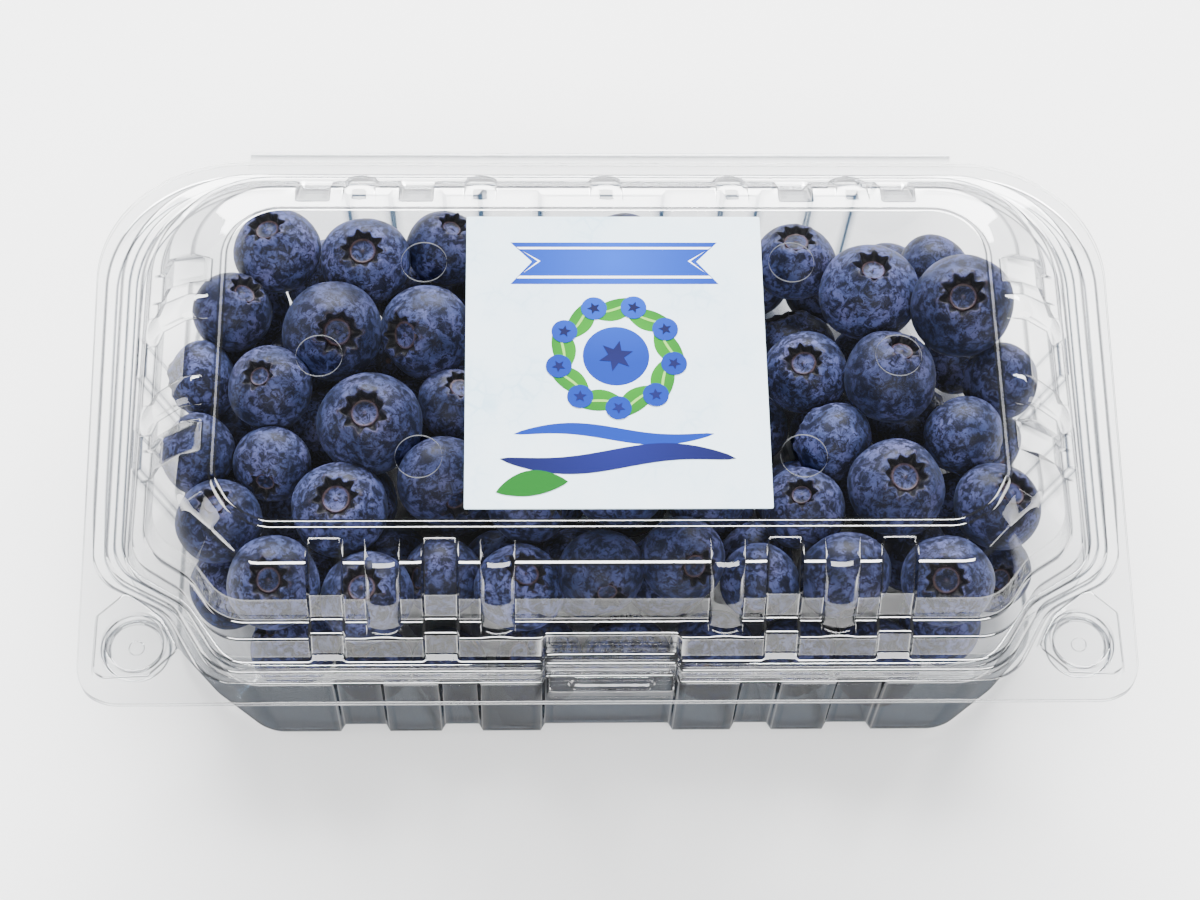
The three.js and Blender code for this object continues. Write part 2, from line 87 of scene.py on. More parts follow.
# The lid's round flutes and flat slots, as distances from the middle of each wall.
RIBS = {"front": ([16.4, 32.8], [24.6, 41]), "side": ([7.6], [15.2]),
        "back": ([0, 19.2, 37.6], [28.9, 44.6])}
FLUTE_HALF = 2.5
SLOT_HALF = 2.2
SLOT_EDGE, SLOT_SLOPE = 1.22, 0.2  # where a slot's side ends and how wide it is, in slot halves
SIDE_MIDDLE = 2.4
LATCH_HALF = 9.4
LATCH_EASE = 0.8  # beside the latch the wall comes back out over this width

# Recesses in the tray's walls, from and to along the wall; the pads between them stand out.
LONG_RECESSES = [(0, 10.2), (18.9, 25.4), (33.1, 40.8)]
RECESSES = {"front": LONG_RECESSES, "side": [(4.4, 11.6)], "back": LONG_RECESSES}
RECESS_REACH = {"front": 44, "side": 16, "back": 44}
RECESS_SLOPE = 0.8

VENT_RADIUS = 3.4
VENTS = [(27.5, 15.6), (42.6, -0.3), (27.8, -16.8)]
BUTTON = (69.3, -38.4)

# Level: height, half width, half depth, front corner cut x and y, bite, rear radius, rounding.
FLANGE = (77.5, 46.3, 4.6, 4.6, -1.3, 26)
LID_LEVELS = {
    "flangeLip": (LID_FLANGE_Z + 0.1, *FLANGE, 0),
    "flangeEdge": (LID_FLANGE_Z + WALL, *FLANGE, 0.2),
    "flangeRoot": (LID_FLANGE_Z + WALL, 76.1, 43.2, 17.3, 16.8, 3.8, 24, 0.45),
    "beadTop": (26.9, 74, 42.6, 16.6, 16, 3.2, 23, 0.45),
    "stepFoot": (27.2, 71.3, 41.1, 14.8, 14.4, 2.6, 21, 0.45),
    "dentFoot": (27.9, 71, 40.5, 14.2, 13.8, 2.3, 20, 0.2),
    "stepTop": (31.4, 70, 39.3, 13, 12.6, 1.8, 18, 0.5),
    "foot": (31.9, 68, 36.6, 11.5, 11.4, 1.8, 15, 0.6),
    "belly": (36.3, 66.5, 35.25, 10.9, 10.8, 1.1, 13.6, 0.3),
    "crease": (41.1, 62.4, 31.6, 10, 10, 0, 12, 0.8),
    "ribTop": (42.1, 59.2, 28, 8.5, 8.5, -1.2, 9.5, 0.3),
    "rim": (42.4, 57.8, 26.6, 7.5, 7.5, -1.4, 8.6, 0.3),
    "panel": (LID_TOP_Z, 57, 25.9, 7, 7, -1.4, 8, 0.3),
    "panelInner": (LID_TOP_Z, 56, 24.9, 6.5, 6.5, -1.4, 7.5, 0),
}
TRAY_LEVELS = {
    "flangeLip": (TRAY_FLANGE_Z + 0.1, *FLANGE, 0),
    "flangeEdge": (TRAY_FLANGE_Z + WALL - 0.1, *FLANGE, 0.15),
    "beadFoot": (TRAY_FLANGE_Z + WALL, 74.6, 42.2, 17, 16.5, 3.4, 23, 0.4),
    "beadTop": (26.2, 73, 41.8, 16.6, 16, 3.2, 22.5, 0.4),
    "beadIn": (26.2, 71.7, 40.9, 16.6, 16, 2.4, 21, 0.4),
    "padTop": (TRAY_FLANGE_Z - 0.2, 71.6, 41.1, 16.6, 16, 2.4, 21, 0.3),
    "wallTop": (TRAY_FLANGE_Z - 1, 71.5, 42.7, 16.6, 16, 2.4, 21, 0.5),
    "floorEdge": (1.3, 66.6, 42.2, 15, 14, -1, 17, 0.9),
    "floor": (0.02, 65.2, 41.2, 15, 14, -1, 16, 0),
}
PLACE_STEP = 1.5  # the widest step between places along a wall
WALL_END = 0.4    # from a wall's last place to the corner
CUT_ROUND = 7     # radius of the bends in a front corner
CUT_STEPS, REAR_STEPS = 10, 26
FLARE = 0.00035   # the flange and the steps widen this much towards the back, per millimetre
FLARED = {"stepFoot": 0.3, "beadTop": 0.6, "flangeRoot": 0.9, "flangeEdge": 1, "flangeLip": 1,
          "beadFoot": 0.9, "beadIn": 0.6, "padTop": 0.6, "wallTop": 0.6}

# How far each level moves out for a rib, a dent, the latch or a recess.
FLUTE_PUSH = {"crease": 0.6, "belly": 1, "foot": 1.6, "swell": 1}
SLOT_PUSH = {"crease": -2.4, "belly": -0.8, "foot": -0.5}
DENT_PUSH = {"stepTop": -0.9, "dentFoot": -0.5}
LATCH_PUSH = {"stepTop": -0.7, "dentFoot": -0.9, "stepFoot": -1.2, "beadTop": -1.2, "flangeRoot": -1,
              "beadFoot": -1.2, "beadIn": -1.2, "padTop": -1.2}
RECESS_PUSH = {"floor": -1, "floorEdge": -1.2, "wallTop": -1.2}
FLUTE_SOFTNESS = 3.4           # a bend's radius grows by this much at the nose of a flute
FLUTE_RISE = {"crease": 0.7}   # a flute's top stays level where the wall beside it falls away
BEND_SHARE = 0.4               # a bend takes at most this share of a face
BEND_HOLD = 1.2                # a ring at this many times a bend's reach keeps the face flat
FOLD_FROM, FOLD_FULL = 14, 38  # bends in degrees: none of a line's strength, and all of it
TURN_FULL = 45                 # the same for turns along a ring

# The tray's front and back walls take a painted shade, dark where berries and their shadow lie behind the
# film:
# from and over these distances from its middle line, and over this drop from the flange.
SHADE_FROM, SHADE_OVER, SHADE_DROP = 29, 8, 1.2

# ---- Helpers

def linear(code):
    """A hex sRGB colour as linear values."""
    values = [int(code[i:i + 2], 16) / 255 for i in (0, 2, 4)]
    return [v / 12.92 if v <= 0.04045 else ((v + 0.055) / 1.055) ** 2.4 for v in values]


def add_node(tree, kind, inputs=None, **settings):
    """Adds a shader node with its settings, and sets or links its inputs."""
    node = tree.nodes.new("ShaderNode" + kind)
    for key, value in settings.items():
        setattr(node, key, value)
    for key, value in (inputs or {}).items():
        if isinstance(value, bpy.types.NodeSocket):
            tree.links.new(value, node.inputs[key])
        else:
            node.inputs[key].default_value = value
    return node


def deselect_all():
    if bpy.context.object and bpy.context.object.mode != "OBJECT":
        bpy.ops.object.mode_set(mode="OBJECT")
    bpy.ops.object.select_all(action="DESELECT")


def pick(piece):
    deselect_all()
    piece.select_set(True)
    bpy.context.view_layer.objects.active = piece


def edit_mesh(piece):
    """Opens a piece in edit mode and returns its mesh there."""
    pick(piece)
    bpy.ops.object.mode_set(mode="EDIT")
    return bmesh.from_edit_mesh(piece.data)


def face_outward():
    bpy.ops.mesh.select_all(action="SELECT")
    bpy.ops.mesh.normals_make_consistent(inside=False)


def loft(name, rings, folds=None, close_first=False, close_last=False):
    """A skin through rings of equal count: a circle extruded from ring to ring.
    Each point keeps how sharply the sheet is folded there."""
    deselect_all()
    bpy.ops.mesh.primitive_circle_add(vertices=len(rings[0]), radius=1, location=(0, 0, 0))
    piece = bpy.context.object
    piece.name = piece.data.name = name
    mesh = edit_mesh(piece)
    place = mesh.verts.layers.int.new("place")
    mesh.verts.layers.float.new("fold")
    for i, vert in enumerate(sorted(mesh.verts, key=lambda v: math.atan2(v.co.y, v.co.x))):
        vert[place] = i
    bmesh.update_edit_mesh(piece.data)
    bpy.ops.mesh.select_all(action="SELECT")
    for level, points in enumerate(rings):
        if level:
            bpy.ops.mesh.extrude_edges_move()
        mesh = bmesh.from_edit_mesh(piece.data)
        place, fold = mesh.verts.layers.int["place"], mesh.verts.layers.float["fold"]
        for vert in mesh.verts:
            if vert.select:
                vert.co = points[vert[place]]
                vert[fold] = folds[level][vert[place]] if folds else 0.0
        bmesh.update_edit_mesh(piece.data)
        if (close_first and level == 0) or (close_last and level == len(rings) - 1):
            bpy.ops.mesh.edge_face_add()
            bpy.ops.mesh.select_mode(type="EDGE")
    face_outward()
    mesh = bmesh.from_edit_mesh(piece.data)
    mesh.verts.layers.int.remove(mesh.verts.layers.int["place"])
    bmesh.update_edit_mesh(piece.data)
    bpy.ops.object.mode_set(mode="OBJECT")
    return piece


def sheet(name, across, along, place):
    """A grid whose points are placed by their shares across it (-1 to 1) and along it (0 to 1)."""
    deselect_all()
    bpy.ops.mesh.primitive_grid_add(x_subdivisions=across, y_subdivisions=along, size=1, location=(0, 0, 0))
    piece = bpy.context.object
    piece.name = name
    for vert in piece.data.vertices:
        vert.co = Vector(place(2 * vert.co.x, vert.co.y + 0.5)) * MM
    return piece


def store(mesh, name, values):
    """Gives every point of a mesh a number that a material can read."""
    mesh.attributes.new(name, "FLOAT", "POINT").data.foreach_set("value", values)


def mark(piece, name, value_at):
    """Stores a number from each point's place in millimetres."""
    store(piece.data, name, [value_at(vert.co / MM) for vert in piece.data.vertices])


def join(name, pieces):
    deselect_all()
    for piece in pieces:
        piece.select_set(True)
    bpy.context.view_layer.objects.active = pieces[0]
    bpy.ops.object.join()
    pieces[0].name = pieces[0].data.name = name
    return pieces[0]


def smooth(piece, degrees=40):
    pick(piece)
    bpy.ops.object.shade_smooth_by_angle(angle=math.radians(degrees))


def dress(piece, material):
    piece.data.materials.clear()
    piece.data.materials.append(material)


def turns(count):
    """Even turns round a circle, as their cosines and sines."""
    return [(math.cos(TAU * i / count), math.sin(TAU * i / count)) for i in range(count)]


def eased(t):
    t = min(1, max(0, t))
    return t * t * (3 - 2 * t)


# ---- Outline of one level

def fillet(a, b, c, radius, steps):
    """Points of the arc that rounds the corner b between a and c."""
    to_a, to_c = a - b, c - b
    half = to_a.angle(to_c) / 2
    tangent = min(radius / math.tan(half), 0.48 * min(to_a.length, to_c.length))
    r = tangent * math.tan(half)
    centre = b + (to_a.normalized() + to_c.normalized()).normalized() * (r / math.sin(half))
    start = b + to_a.normalized() * tangent - centre
    end = b + to_c.normalized() * tangent - centre
    sweep = math.atan2(start.x * end.y - start.y * end.x, start.dot(end))
    return [centre + Matrix.Rotation(sweep * i / steps, 2) @ start for i in range(steps + 1)]


def spread(edges, step):
    """Places from the first edge to the last, with every edge kept and none further than step."""
    places = [edges[0]]
    for low, high in zip(edges, edges[1:]):
        count = max(1, math.ceil((high - low) / step))
        places += [low + (high - low) * i / count for i in range(1, count + 1)]
    return places


def rib_places(flutes, slots, extras):
    """Places along a wall of the lid, close together on the ribs."""
    edges = set(extras)
    for c in flutes:
        edges.update(c + math.sin(math.radians(k)) * FLUTE_HALF for k in range(-90, 91, 9))
        edges.update(c + u * FLUTE_HALF for u in (-1.2, -1.08, 1.08, 1.2))
    for c in slots:
        edges.update(c + u * SLOT_HALF for u in (-1.25, -1.2, -1.05, -0.95, 0, 0.95, 1.05, 1.2, 1.25))
    return spread(sorted(e for e in edges if e >= 0), PLACE_STEP)


def recess_places(recesses, end):
    """Places along a wall of the tray, close together on the slopes of its recesses."""
    edges = {0, end}
    for low, high in recesses:
        edges.update(high - u * RECESS_SLOPE for u in (0, 0.12, 0.5, 0.88, 1))
        edges.update(low + u * RECESS_SLOPE for u in (0, 0.12, 0.5, 0.88, 1) if low)
    return spread(sorted(edges), PLACE_STEP)


def latch_push(name, wall, at):
    """How far the film steps back behind the latch."""
    if wall == "front" and at < LATCH_HALF + LATCH_EASE:
        return LATCH_PUSH.get(name, 0) * eased((LATCH_HALF + LATCH_EASE - at) / LATCH_EASE)
    return 0


def lid_push(name, wall, at):
    """How far the lid's wall stands out at a level and a place along it."""
    if wall == "corner":
        return 0
    flutes, slots = RIBS[wall]
    for c in flutes:
        u = abs(at - c) / FLUTE_HALF
        if u < 1:
            return FLUTE_PUSH.get(name, 0) * math.sqrt(1 - u ** 2)
    for c in slots:
        u = abs(at - c) / SLOT_HALF
        if u < SLOT_EDGE:
            dent = DENT_PUSH.get(name, 0) if wall == "front" else 0
            return (SLOT_PUSH.get(name, 0) + dent) * eased((SLOT_EDGE - u) / SLOT_SLOPE)
    return latch_push(name, wall, at)


def tray_push(name, wall, at):
    """How far the tray's wall stands out, less than 0 in a recess and behind the latch."""
    if wall == "corner":
        return 0
    push = latch_push(name, wall, at)
    for low, high in RECESSES[wall]:
        if low <= at <= high:
            depth = min(1, (high - at) / RECESS_SLOPE, (at - low) / RECESS_SLOPE if low else 1)
            push += RECESS_PUSH.get(name, 0) * eased(depth)
    return push


LATCH_PLACES = [LATCH_HALF, LATCH_HALF + LATCH_EASE / 2, LATCH_HALF + LATCH_EASE]
LID_PLAN = {wall: rib_places(*ribs, [0, *LATCH_PLACES] if wall == "front" else [0])
            for wall, ribs in RIBS.items()} | {"push": lid_push}
TRAY_PLAN = {wall: recess_places(RECESSES[wall], RECESS_REACH[wall])
             for wall in RECESSES} | {"push": tray_push}


def squeeze(places, room):
    """Pairs of each place and where it lies once all of them fit into the room."""
    scale = min(1, room / places[-1])
    return [(p, p * scale) for p in places]


def outline_points(level, plan):
    """The right half of a level, from the middle of the front to the middle of the back: each point
    with its wall, its place along it and the way out."""
    _, w, h, cut_x, cut_y, bite, rear, _ = level
    front, back = MID_Y - h, MID_Y + h
    on_front, on_side = Vector((w - cut_x, front)), Vector((w, front + cut_y))
    bitten = (on_front + on_side) / 2 + Vector((-cut_y, cut_x)).normalized() * bite
    side_end = Vector((w, back - rear))
    turned = [Vector((0, front)), on_front, bitten, on_side, side_end]
    corner = [p for bend in zip(turned, turned[1:], turned[2:])
              for p in fillet(*bend, CUT_ROUND, CUT_STEPS)]
    rear_corner = fillet(Vector((w, 0)), Vector((w, back)), Vector((0, back)), rear, REAR_STEPS)
    ahead = squeeze(plan["front"], corner[0].x - WALL_END)
    low = squeeze(plan["side"], SIDE_MIDDLE - corner[-1].y - WALL_END)[:0:-1]
    high = squeeze(plan["side"], side_end.y - SIDE_MIDDLE - WALL_END)
    behind = squeeze(plan["back"], w - rear - WALL_END)[::-1]
    runs = [
        ("front", (0, -1), [(at, (x, front)) for at, x in ahead]),
        ("corner", (0.7, -0.7), [(0, p) for p in corner]),
        ("side", (1, 0), [(at, (w, SIDE_MIDDLE - d)) for at, d in low]),
        ("side", (1, 0), [(at, (w, SIDE_MIDDLE + d)) for at, d in high]),
        ("corner", (0.7, 0.7), [(0, p) for p in rear_corner]),
        ("back", (0, 1), [(at, (x, back)) for at, x in behind]),
    ]
    return [(wall, at, Vector(p), Vector(out)) for wall, out, run in runs for at, p in run]


def ring_swells(plan):
    """How far round its flute each point of a ring is, 1 at the nose and 0 off the flutes."""
    half = [(plan["push"]("swell", wall, at), p.x)
            for wall, at, p, _ in outline_points(LID_LEVELS["crease"], plan)]
    return [swell for swell, _ in half] + [swell for swell, x in reversed(half) if x > 1e-6]


def ring(level, name, plan):
    """One level all round: the right half with its ribs or recesses, and its mirror image."""
    z, front = level[0], MID_Y - level[2]
    half = []
    for wall, at, p, out in outline_points(level, plan):
        p = p + out * plan["push"](name, wall, at)
        p.x *= 1 + FLARE * FLARED.get(name, 0) * (p.y - front)
        rise = FLUTE_RISE.get(name, 0) * plan["push"]("swell", wall, at)
        half.append(Vector((p.x, p.y, z + rise)) * MM)
    return half + [Vector((-p.x, p.y, p.z)) for p in reversed(half) if p.x > 1e-9]


def rounded(rings, radii, swells=None, steps=4):
    """The rings with a soft bend in place of each crease, and how sharp the fold is at each point."""
    result, folds = [rings[0]], [[0.0] * len(rings[0])]
    shares = [i / steps for i in range(steps + 1)]
    for before, here, after, radius in zip(rings, rings[1:], rings[2:], radii[1:]):
        bends = []
        for k, (a, b, c) in enumerate(zip(before, here, after)):
            back, on = a - b, c - b
            soft = FLUTE_SOFTNESS * swells[k] if swells and radius >= 0.6 else 0
            cut_back, cut_on = (
                min(BEND_SHARE, (radius + soft) * MM / max(way.length, 1e-9)) for way in (back, on))
            first, last = b + back * cut_back, b + on * cut_on
            turn = math.degrees(math.pi - back.angle(on, math.pi))
            line = min(1, max(0, (turn - FOLD_FROM) / (FOLD_FULL - FOLD_FROM)))
            bends.append([(b + back * BEND_HOLD * cut_back, 0.0)] + [
                (first * (1 - t) ** 2 + b * 2 * t * (1 - t) + last * t ** 2,
                 line * 4 * t * (1 - t) / (1 + 2 * soft)) for t in shares
            ] + [(b + on * BEND_HOLD * cut_on, 0.0)])
        for level in zip(*bends):
            result.append([p for p, _ in level])
            folds.append([sharp for _, sharp in level])
    return result + [rings[-1]], folds + [[0.0] * len(rings[-1])]


def corners_along(points):
    """How sharply a closed ring turns at each point."""
    sharp = []
    for i, p in enumerate(points):
        back, on = p - points[i - 1], points[(i + 1) % len(points)] - p
        turn = math.degrees(back.angle(on, 0.0))
        sharp.append(eased((turn - FOLD_FROM) / (TURN_FULL - FOLD_FROM)))
    return sharp


def shell_rings(levels, plan):
    rings, folds = rounded([ring(level, name, plan) for name, level in levels.items()],
                           [level[7] for level in levels.values()], ring_swells(plan))
    for points, fold in zip(rings, folds):
        for i, sharp in enumerate(corners_along(points)):
            fold[i] = max(fold[i], sharp)
    return rings, folds


# ---- Settings

class PunnetSizes(bpy.types.PropertyGroup):
    film: bpy.props.FloatProperty(
        name="Film", description="Thickness of the film at the edge of a vent",
        default=0.35 * MM, min=0.1 * MM, max=1 * MM, unit="LENGTH", precision=5)
    crown: bpy.props.FloatProperty(
        name="Crown", description="Width of a berry's crown, as a share of the berry",
        default=0.4, min=0.2, max=0.6)
    bloom: bpy.props.FloatProperty(
        name="Bloom", description="How much pale wax lies on the berries",
        default=0.62, min=0, max=1, subtype="FACTOR")


def colour_setting(name, description, code):
    return bpy.props.FloatVectorProperty(
        name=name, description=description, subtype="COLOR", default=linear(code), min=0, max=1)


class PunnetColours(bpy.types.PropertyGroup):
    skin: colour_setting("Skin", "Dark skin of the berries", "090b1a")
    wax: colour_setting("Wax", "Pale bloom on the berries", "445c9e")
    label: colour_setting("Label", "Ground colour of the label", "f2faff")
    banner: colour_setting("Banner", "Blue of the label's banner", "0b46b4")


# ---- Materials

def new_material(name):
    """An empty node material, and its tree."""
    material = bpy.data.materials.new(name)
    material.use_nodes = True
    material.node_tree.nodes.clear()
    return material, material.node_tree


def opaque(colour):
    """A colour's linear values with full alpha, from a hex code or from its values."""
    return (*(linear(colour) if isinstance(colour, str) else colour), 1)


def maths(tree, operation, *values, clamp=False):
    return add_node(tree, "Math", dict(enumerate(values)),
                    operation=operation, use_clamp=clamp).outputs[0]


def remap(tree, value, low, high, to_low=0, to_high=1):
    return add_node(tree, "MapRange", {
        "Value": value, "From Min": low, "From Max": high,
        "To Min": to_low, "To Max": to_high}).outputs["Result"]


def mix(tree, share, first, second):
    """A colour between two, each of them a socket or a plain colour."""
    first, second = (c if isinstance(c, bpy.types.NodeSocket) else opaque(c) for c in (first, second))
    return add_node(tree, "Mix", {"Factor": share, 6: first, 7: second},
                    data_type="RGBA").outputs[2]


def stored(tree, name):
    """A number that the points of the mesh carry."""
    return add_node(tree, "Attribute", attribute_name=name).outputs["Fac"]


def place_on_object(tree):
    return add_node(tree, "TexCoord").outputs["Object"]


def cloudy(tree, scale, detail, roughness, distortion=0):
    return add_node(tree, "TexNoise", {
        "Vector": place_on_object(tree), "Scale": scale, "Detail": detail, "Roughness": roughness,
        "Distortion": distortion}).outputs["Fac"]


def principled(tree, **inputs):
    """Ends a material with a Principled shader; an input's name is written with underscores."""
    shader = add_node(tree, "BsdfPrincipled", {
        key.replace("_", " "): value for key, value in inputs.items()})
    add_node(tree, "OutputMaterial", {"Surface": shader.outputs["BSDF"]})


# The film's shares of mirrored light on a flat face and along a fold, where the extra share is a painted
# line of light, and a fold's share of the painted shade.
FLAT_SHINE, FOLD_SHINE, FOLD_SHADE = 0.07, 0.3, 0.95


def clear_pet(name, shade_colour, mirror_roughness, shade_turns=(0.5, 1.05), turned_shine=0.3,
              shaded=False):
    """Thermoformed PET film. Clear seen straight on, silvery where it turns away and darker there by a
    painted shade, and drawn with a painted thin line of light and shade along every fold, where the sheet
    is thicker and bends what is behind. A shaded film takes its turned-away painted shade only where its
    mesh is marked."""
    material, tree = new_material(name)
    facing = add_node(tree, "LayerWeight", {"Blend": 0.5}).outputs["Facing"]
    fold = stored(tree, "fold")
    plain = maths(tree, "MULTIPLY_ADD", maths(tree, "POWER", facing, 5), turned_shine, FLAT_SHINE)
    # Along every fold the mirror's share grows: a painted line of light.
    share = maths(tree, "MULTIPLY_ADD", maths(tree, "POWER", fold, 1.7), FOLD_SHINE, plain, clamp=True)
    # Painted shade: darker where the film turns away, and darker still along every fold.
    shade_amount = remap(tree, facing, *shade_turns)
    if shaded:
        shade_amount = maths(tree, "MULTIPLY", shade_amount, stored(tree, "painted_wall_shade"))
    shade_amount = maths(tree, "MULTIPLY_ADD", maths(tree, "POWER", fold, 1.15), FOLD_SHADE, shade_amount, clamp=True)
    through = add_node(tree, "BsdfTransparent", {
        "Color": mix(tree, shade_amount, (0.99, 0.993, 0.995), shade_colour)})
    mirror = add_node(tree, "BsdfGlossy", {
        "Color": (1, 1, 1, 1), "Roughness": mirror_roughness})
    surface = add_node(tree, "MixShader", {
        0: share, 1: through.outputs["BSDF"], 2: mirror.outputs["BSDF"]})
    add_node(tree, "OutputMaterial", {"Surface": surface.outputs["Shader"]})
    return material


def cut_pet_edge():
    """The cut edge of the film. Frosted, so it shows as a thin pale grey line."""
    material, tree = new_material("cut_pet_edge")
    principled(tree, Base_Color=opaque((0.34, 0.35, 0.37)), Roughness=0.35, Alpha=0.7)
    return material


def frost(piece, is_edge):
    """Gives the frosted cut edge to the faces that the test picks out by their middles."""
    piece.data.materials.append(bpy.data.materials.get("cut_pet_edge") or cut_pet_edge())
    for face in piece.data.polygons:
        if is_edge(face.center / MM):
            face.material_index = 1


def berry_skin(sizes, colours):
    """Blueberry skin. Blue-black under pale wax in blotches with rubbed flecks, rusty at the crown, with a
    painted shade inside the crown's hollow.
    """
    material, tree = new_material("blueberry_skin_with_bloom")
    broad = cloudy(tree, 190, 3, 0.55)
    blotch = cloudy(tree, 620, 7, 0.68, 0.7)
    fleck = cloudy(tree, 1150, 4, 0.6, 1.2)
    amount = remap(tree, blotch, 0.435, 0.575, 0.08)
    for factor in (remap(tree, broad, 0.34, 0.62, 0.35), remap(tree, fleck, 0.405, 0.48, 0.1),
                   stored(tree, "berry_tone")):
        amount = maths(tree, "MULTIPLY", amount, factor)
    amount = maths(tree, "MULTIPLY", amount, 1.9 * sizes.bloom, clamp=True)
    bloom = mix(tree, broad, colours.wax, "575070")
    colour = mix(tree, amount, colours.skin, bloom)
    # Painted shade on the steep inner wall of the crown's hollow.
    colour = mix(tree, stored(tree, "crown_hollow_shade"), colour, "0b0a0f")
    colour = mix(tree, stored(tree, "berry_rust"), colour, "4d3a36")
    relief = add_node(tree, "Bump", {
        "Height": blotch, "Strength": 0.4, "Distance": 0.15 * MM})
    principled(tree, Base_Color=colour, Roughness=remap(tree, amount, 0, 1, 0.48, 0.75),
               Normal=relief.outputs["Normal"], Specular_IOR_Level=0.16, Sheen_Weight=0.05,
               Sheen_Roughness=0.5, Sheen_Tint=opaque("8ea2d0"))
    return material


PAPER_SHINE = {"Roughness": 0.55, "Specular_IOR_Level": 0.08}


def label_paper(colours):
    """Coated label paper. Icy pale blue, printed with a soft frost of finer crystals."""
    material, tree = new_material("coated_label_paper")
    crystals = add_node(tree, "TexVoronoi", {
        "Vector": place_on_object(tree), "Scale": 420, "Randomness": 1}, feature="DISTANCE_TO_EDGE")
    cloud = cloudy(tree, 70, 5, 0.6)
    frosted = maths(tree, "MULTIPLY", remap(tree, crystals.outputs["Distance"], 0, 0.12, 1, 0),
                    remap(tree, cloud, 0.5, 0.72, 0, 0.5))
    ground = mix(tree, cloud, colours.label, "b9def3")
    principled(tree, Base_Color=mix(tree, frosted, ground, "8dbddc"), **PAPER_SHINE)
    return material


def label_ink(name, inner, outer, centre, reach):
    """Printing ink on the label, shaded from one tone to another across a motif."""
    material, tree = new_material(name)
    away = add_node(tree, "VectorMath", {
        0: place_on_object(tree), 1: centre}, operation="DISTANCE").outputs["Value"]
    principled(tree, Base_Color=mix(tree, remap(tree, away, 0, reach), inner, outer), **PAPER_SHINE)
    return material


# ---- Tray, lid and hinge

# The socket that a corner button presses into: radius and height.
CUP_RINGS = [(5.5, TRAY_FLANGE_Z + WALL), (5.1, TRAY_FLANGE_Z + WALL), (4.9, 22.4), (3, 22.4)]
# A button's many-sided pad, then its cup and stud: radius and height from the pad's top.
PAD_CORNERS = [Vector(p) for p in (
    (6.2, -4.6), (4.9, -5.9), (-2.3, -5.6), (-6.8, -1.2), (-5.2, 2.2), (-3.8, 4.4), (-0.8, 6.7),
    (1.9, 8.6), (6.2, 4.6))]
PAD_RISE = 1.3
BUTTON_RINGS = [(4.7, 0), (4.2, -0.1), (4, -2.3), (1.1, -2.3), (0.9, -1.9)]
# The latch block with its pill: half width, half depth, corner radius and height.
LATCH_TOP = 26.8
LATCH_RINGS = [
    (LATCH_HALF, 1.85, 0.9, LID_FLANGE_Z + WALL), (LATCH_HALF - 0.3, 1.65, 0.8, LATCH_TOP),
    (6.3, 1.35, 1.3, LATCH_TOP + 0.02), (6.1, 1.15, 1.1, LATCH_TOP + 0.3),
    (5.5, 0.35, 0.32, LATCH_TOP + 0.82)]


class PUNNET_OT_tray(bpy.types.Operator):
    """Form the tray: a film from the flange over the bead, down the padded walls to the floor"""
    bl_idname = "punnet.tray"
    bl_label = "Tray"

    def execute(self, context):
        shell = loft("tray_film", *shell_rings(TRAY_LEVELS, TRAY_PLAN), close_last=True)
        lip = hinge_lip("tray_lip", TRAY_FLANGE_Z + WALL - 0.1)
        tray = join("tray_film", [shell, lip, corner_cup(-1), corner_cup(1)])
        smooth(tray)
        # Marks the front and back walls for their painted shade.
        mark(tray, "painted_wall_shade", lambda p: eased((abs(p.y - MID_Y) - SHADE_FROM) / SHADE_OVER)
             * eased((TRAY_FLANGE_Z - p.z) / SHADE_DROP))
        dress(tray, clear_pet("clear_pet_tray", (0.03, 0.055, 0.09), 0.05, (0.3, 0.7), 0.1, shaded=True))
        frost(tray, lambda p: TRAY_FLANGE_Z < p.z < TRAY_FLANGE_Z + 0.3 and on_flange_edge(p))
        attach(tray, "base")
        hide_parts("tray")
        return {"FINISHED"}


def hinge_lip(name, z):
    """The strip of flange that runs back to the fold."""
    return sheet(name, 4, 4, lambda across, along: (
        across * (HINGE_HALF - HINGE_TAPER * along), LIP_ROOT + (HINGE_LIP - LIP_ROOT) * along, z))


def circle_ring(x, y, radius, z, side=1, count=48):
    """A circle of points, or its mirror image where the side is -1."""
    return [Vector((x + side * radius * c, y + radius * s, z)) * MM for c, s in turns(count)]


def corner_cup(side):
    """The tray's round socket that a corner button presses into."""
    rings = [circle_ring(side * BUTTON[0], BUTTON[1], radius, z) for radius, z in CUP_RINGS]
    return loft("corner_cup", *rounded(rings, [0, 0.3, 0.4, 0]), close_last=True)


class PUNNET_OT_lid(bpy.types.Operator):
    """Form the lid: flange, steps with dents, ribbed wall, rimmed panel with vents"""
    bl_idname = "punnet.lid"
    bl_label = "Lid"

    def execute(self, context):
        sizes = context.scene.punnet_sizes
        lid = loft("lid_film", *shell_rings(LID_LEVELS, LID_PLAN))
        fill_panel(lid, sizes.film)
        lip = hinge_lip("lid_lip", LID_FLANGE_Z + WALL)
        lid = join("lid_film", [lid, lip])
        smooth(lid)
        dress(lid, clear_pet("clear_pet_lid", (0.12, 0.13, 0.15), 0.035))
        frost(lid, lambda p: (p.z < LID_FLANGE_Z + 0.4 and on_flange_edge(p)) or at_vent_edge(p))
        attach(lid, "lid")
        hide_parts("lid")
        return {"FINISHED"}


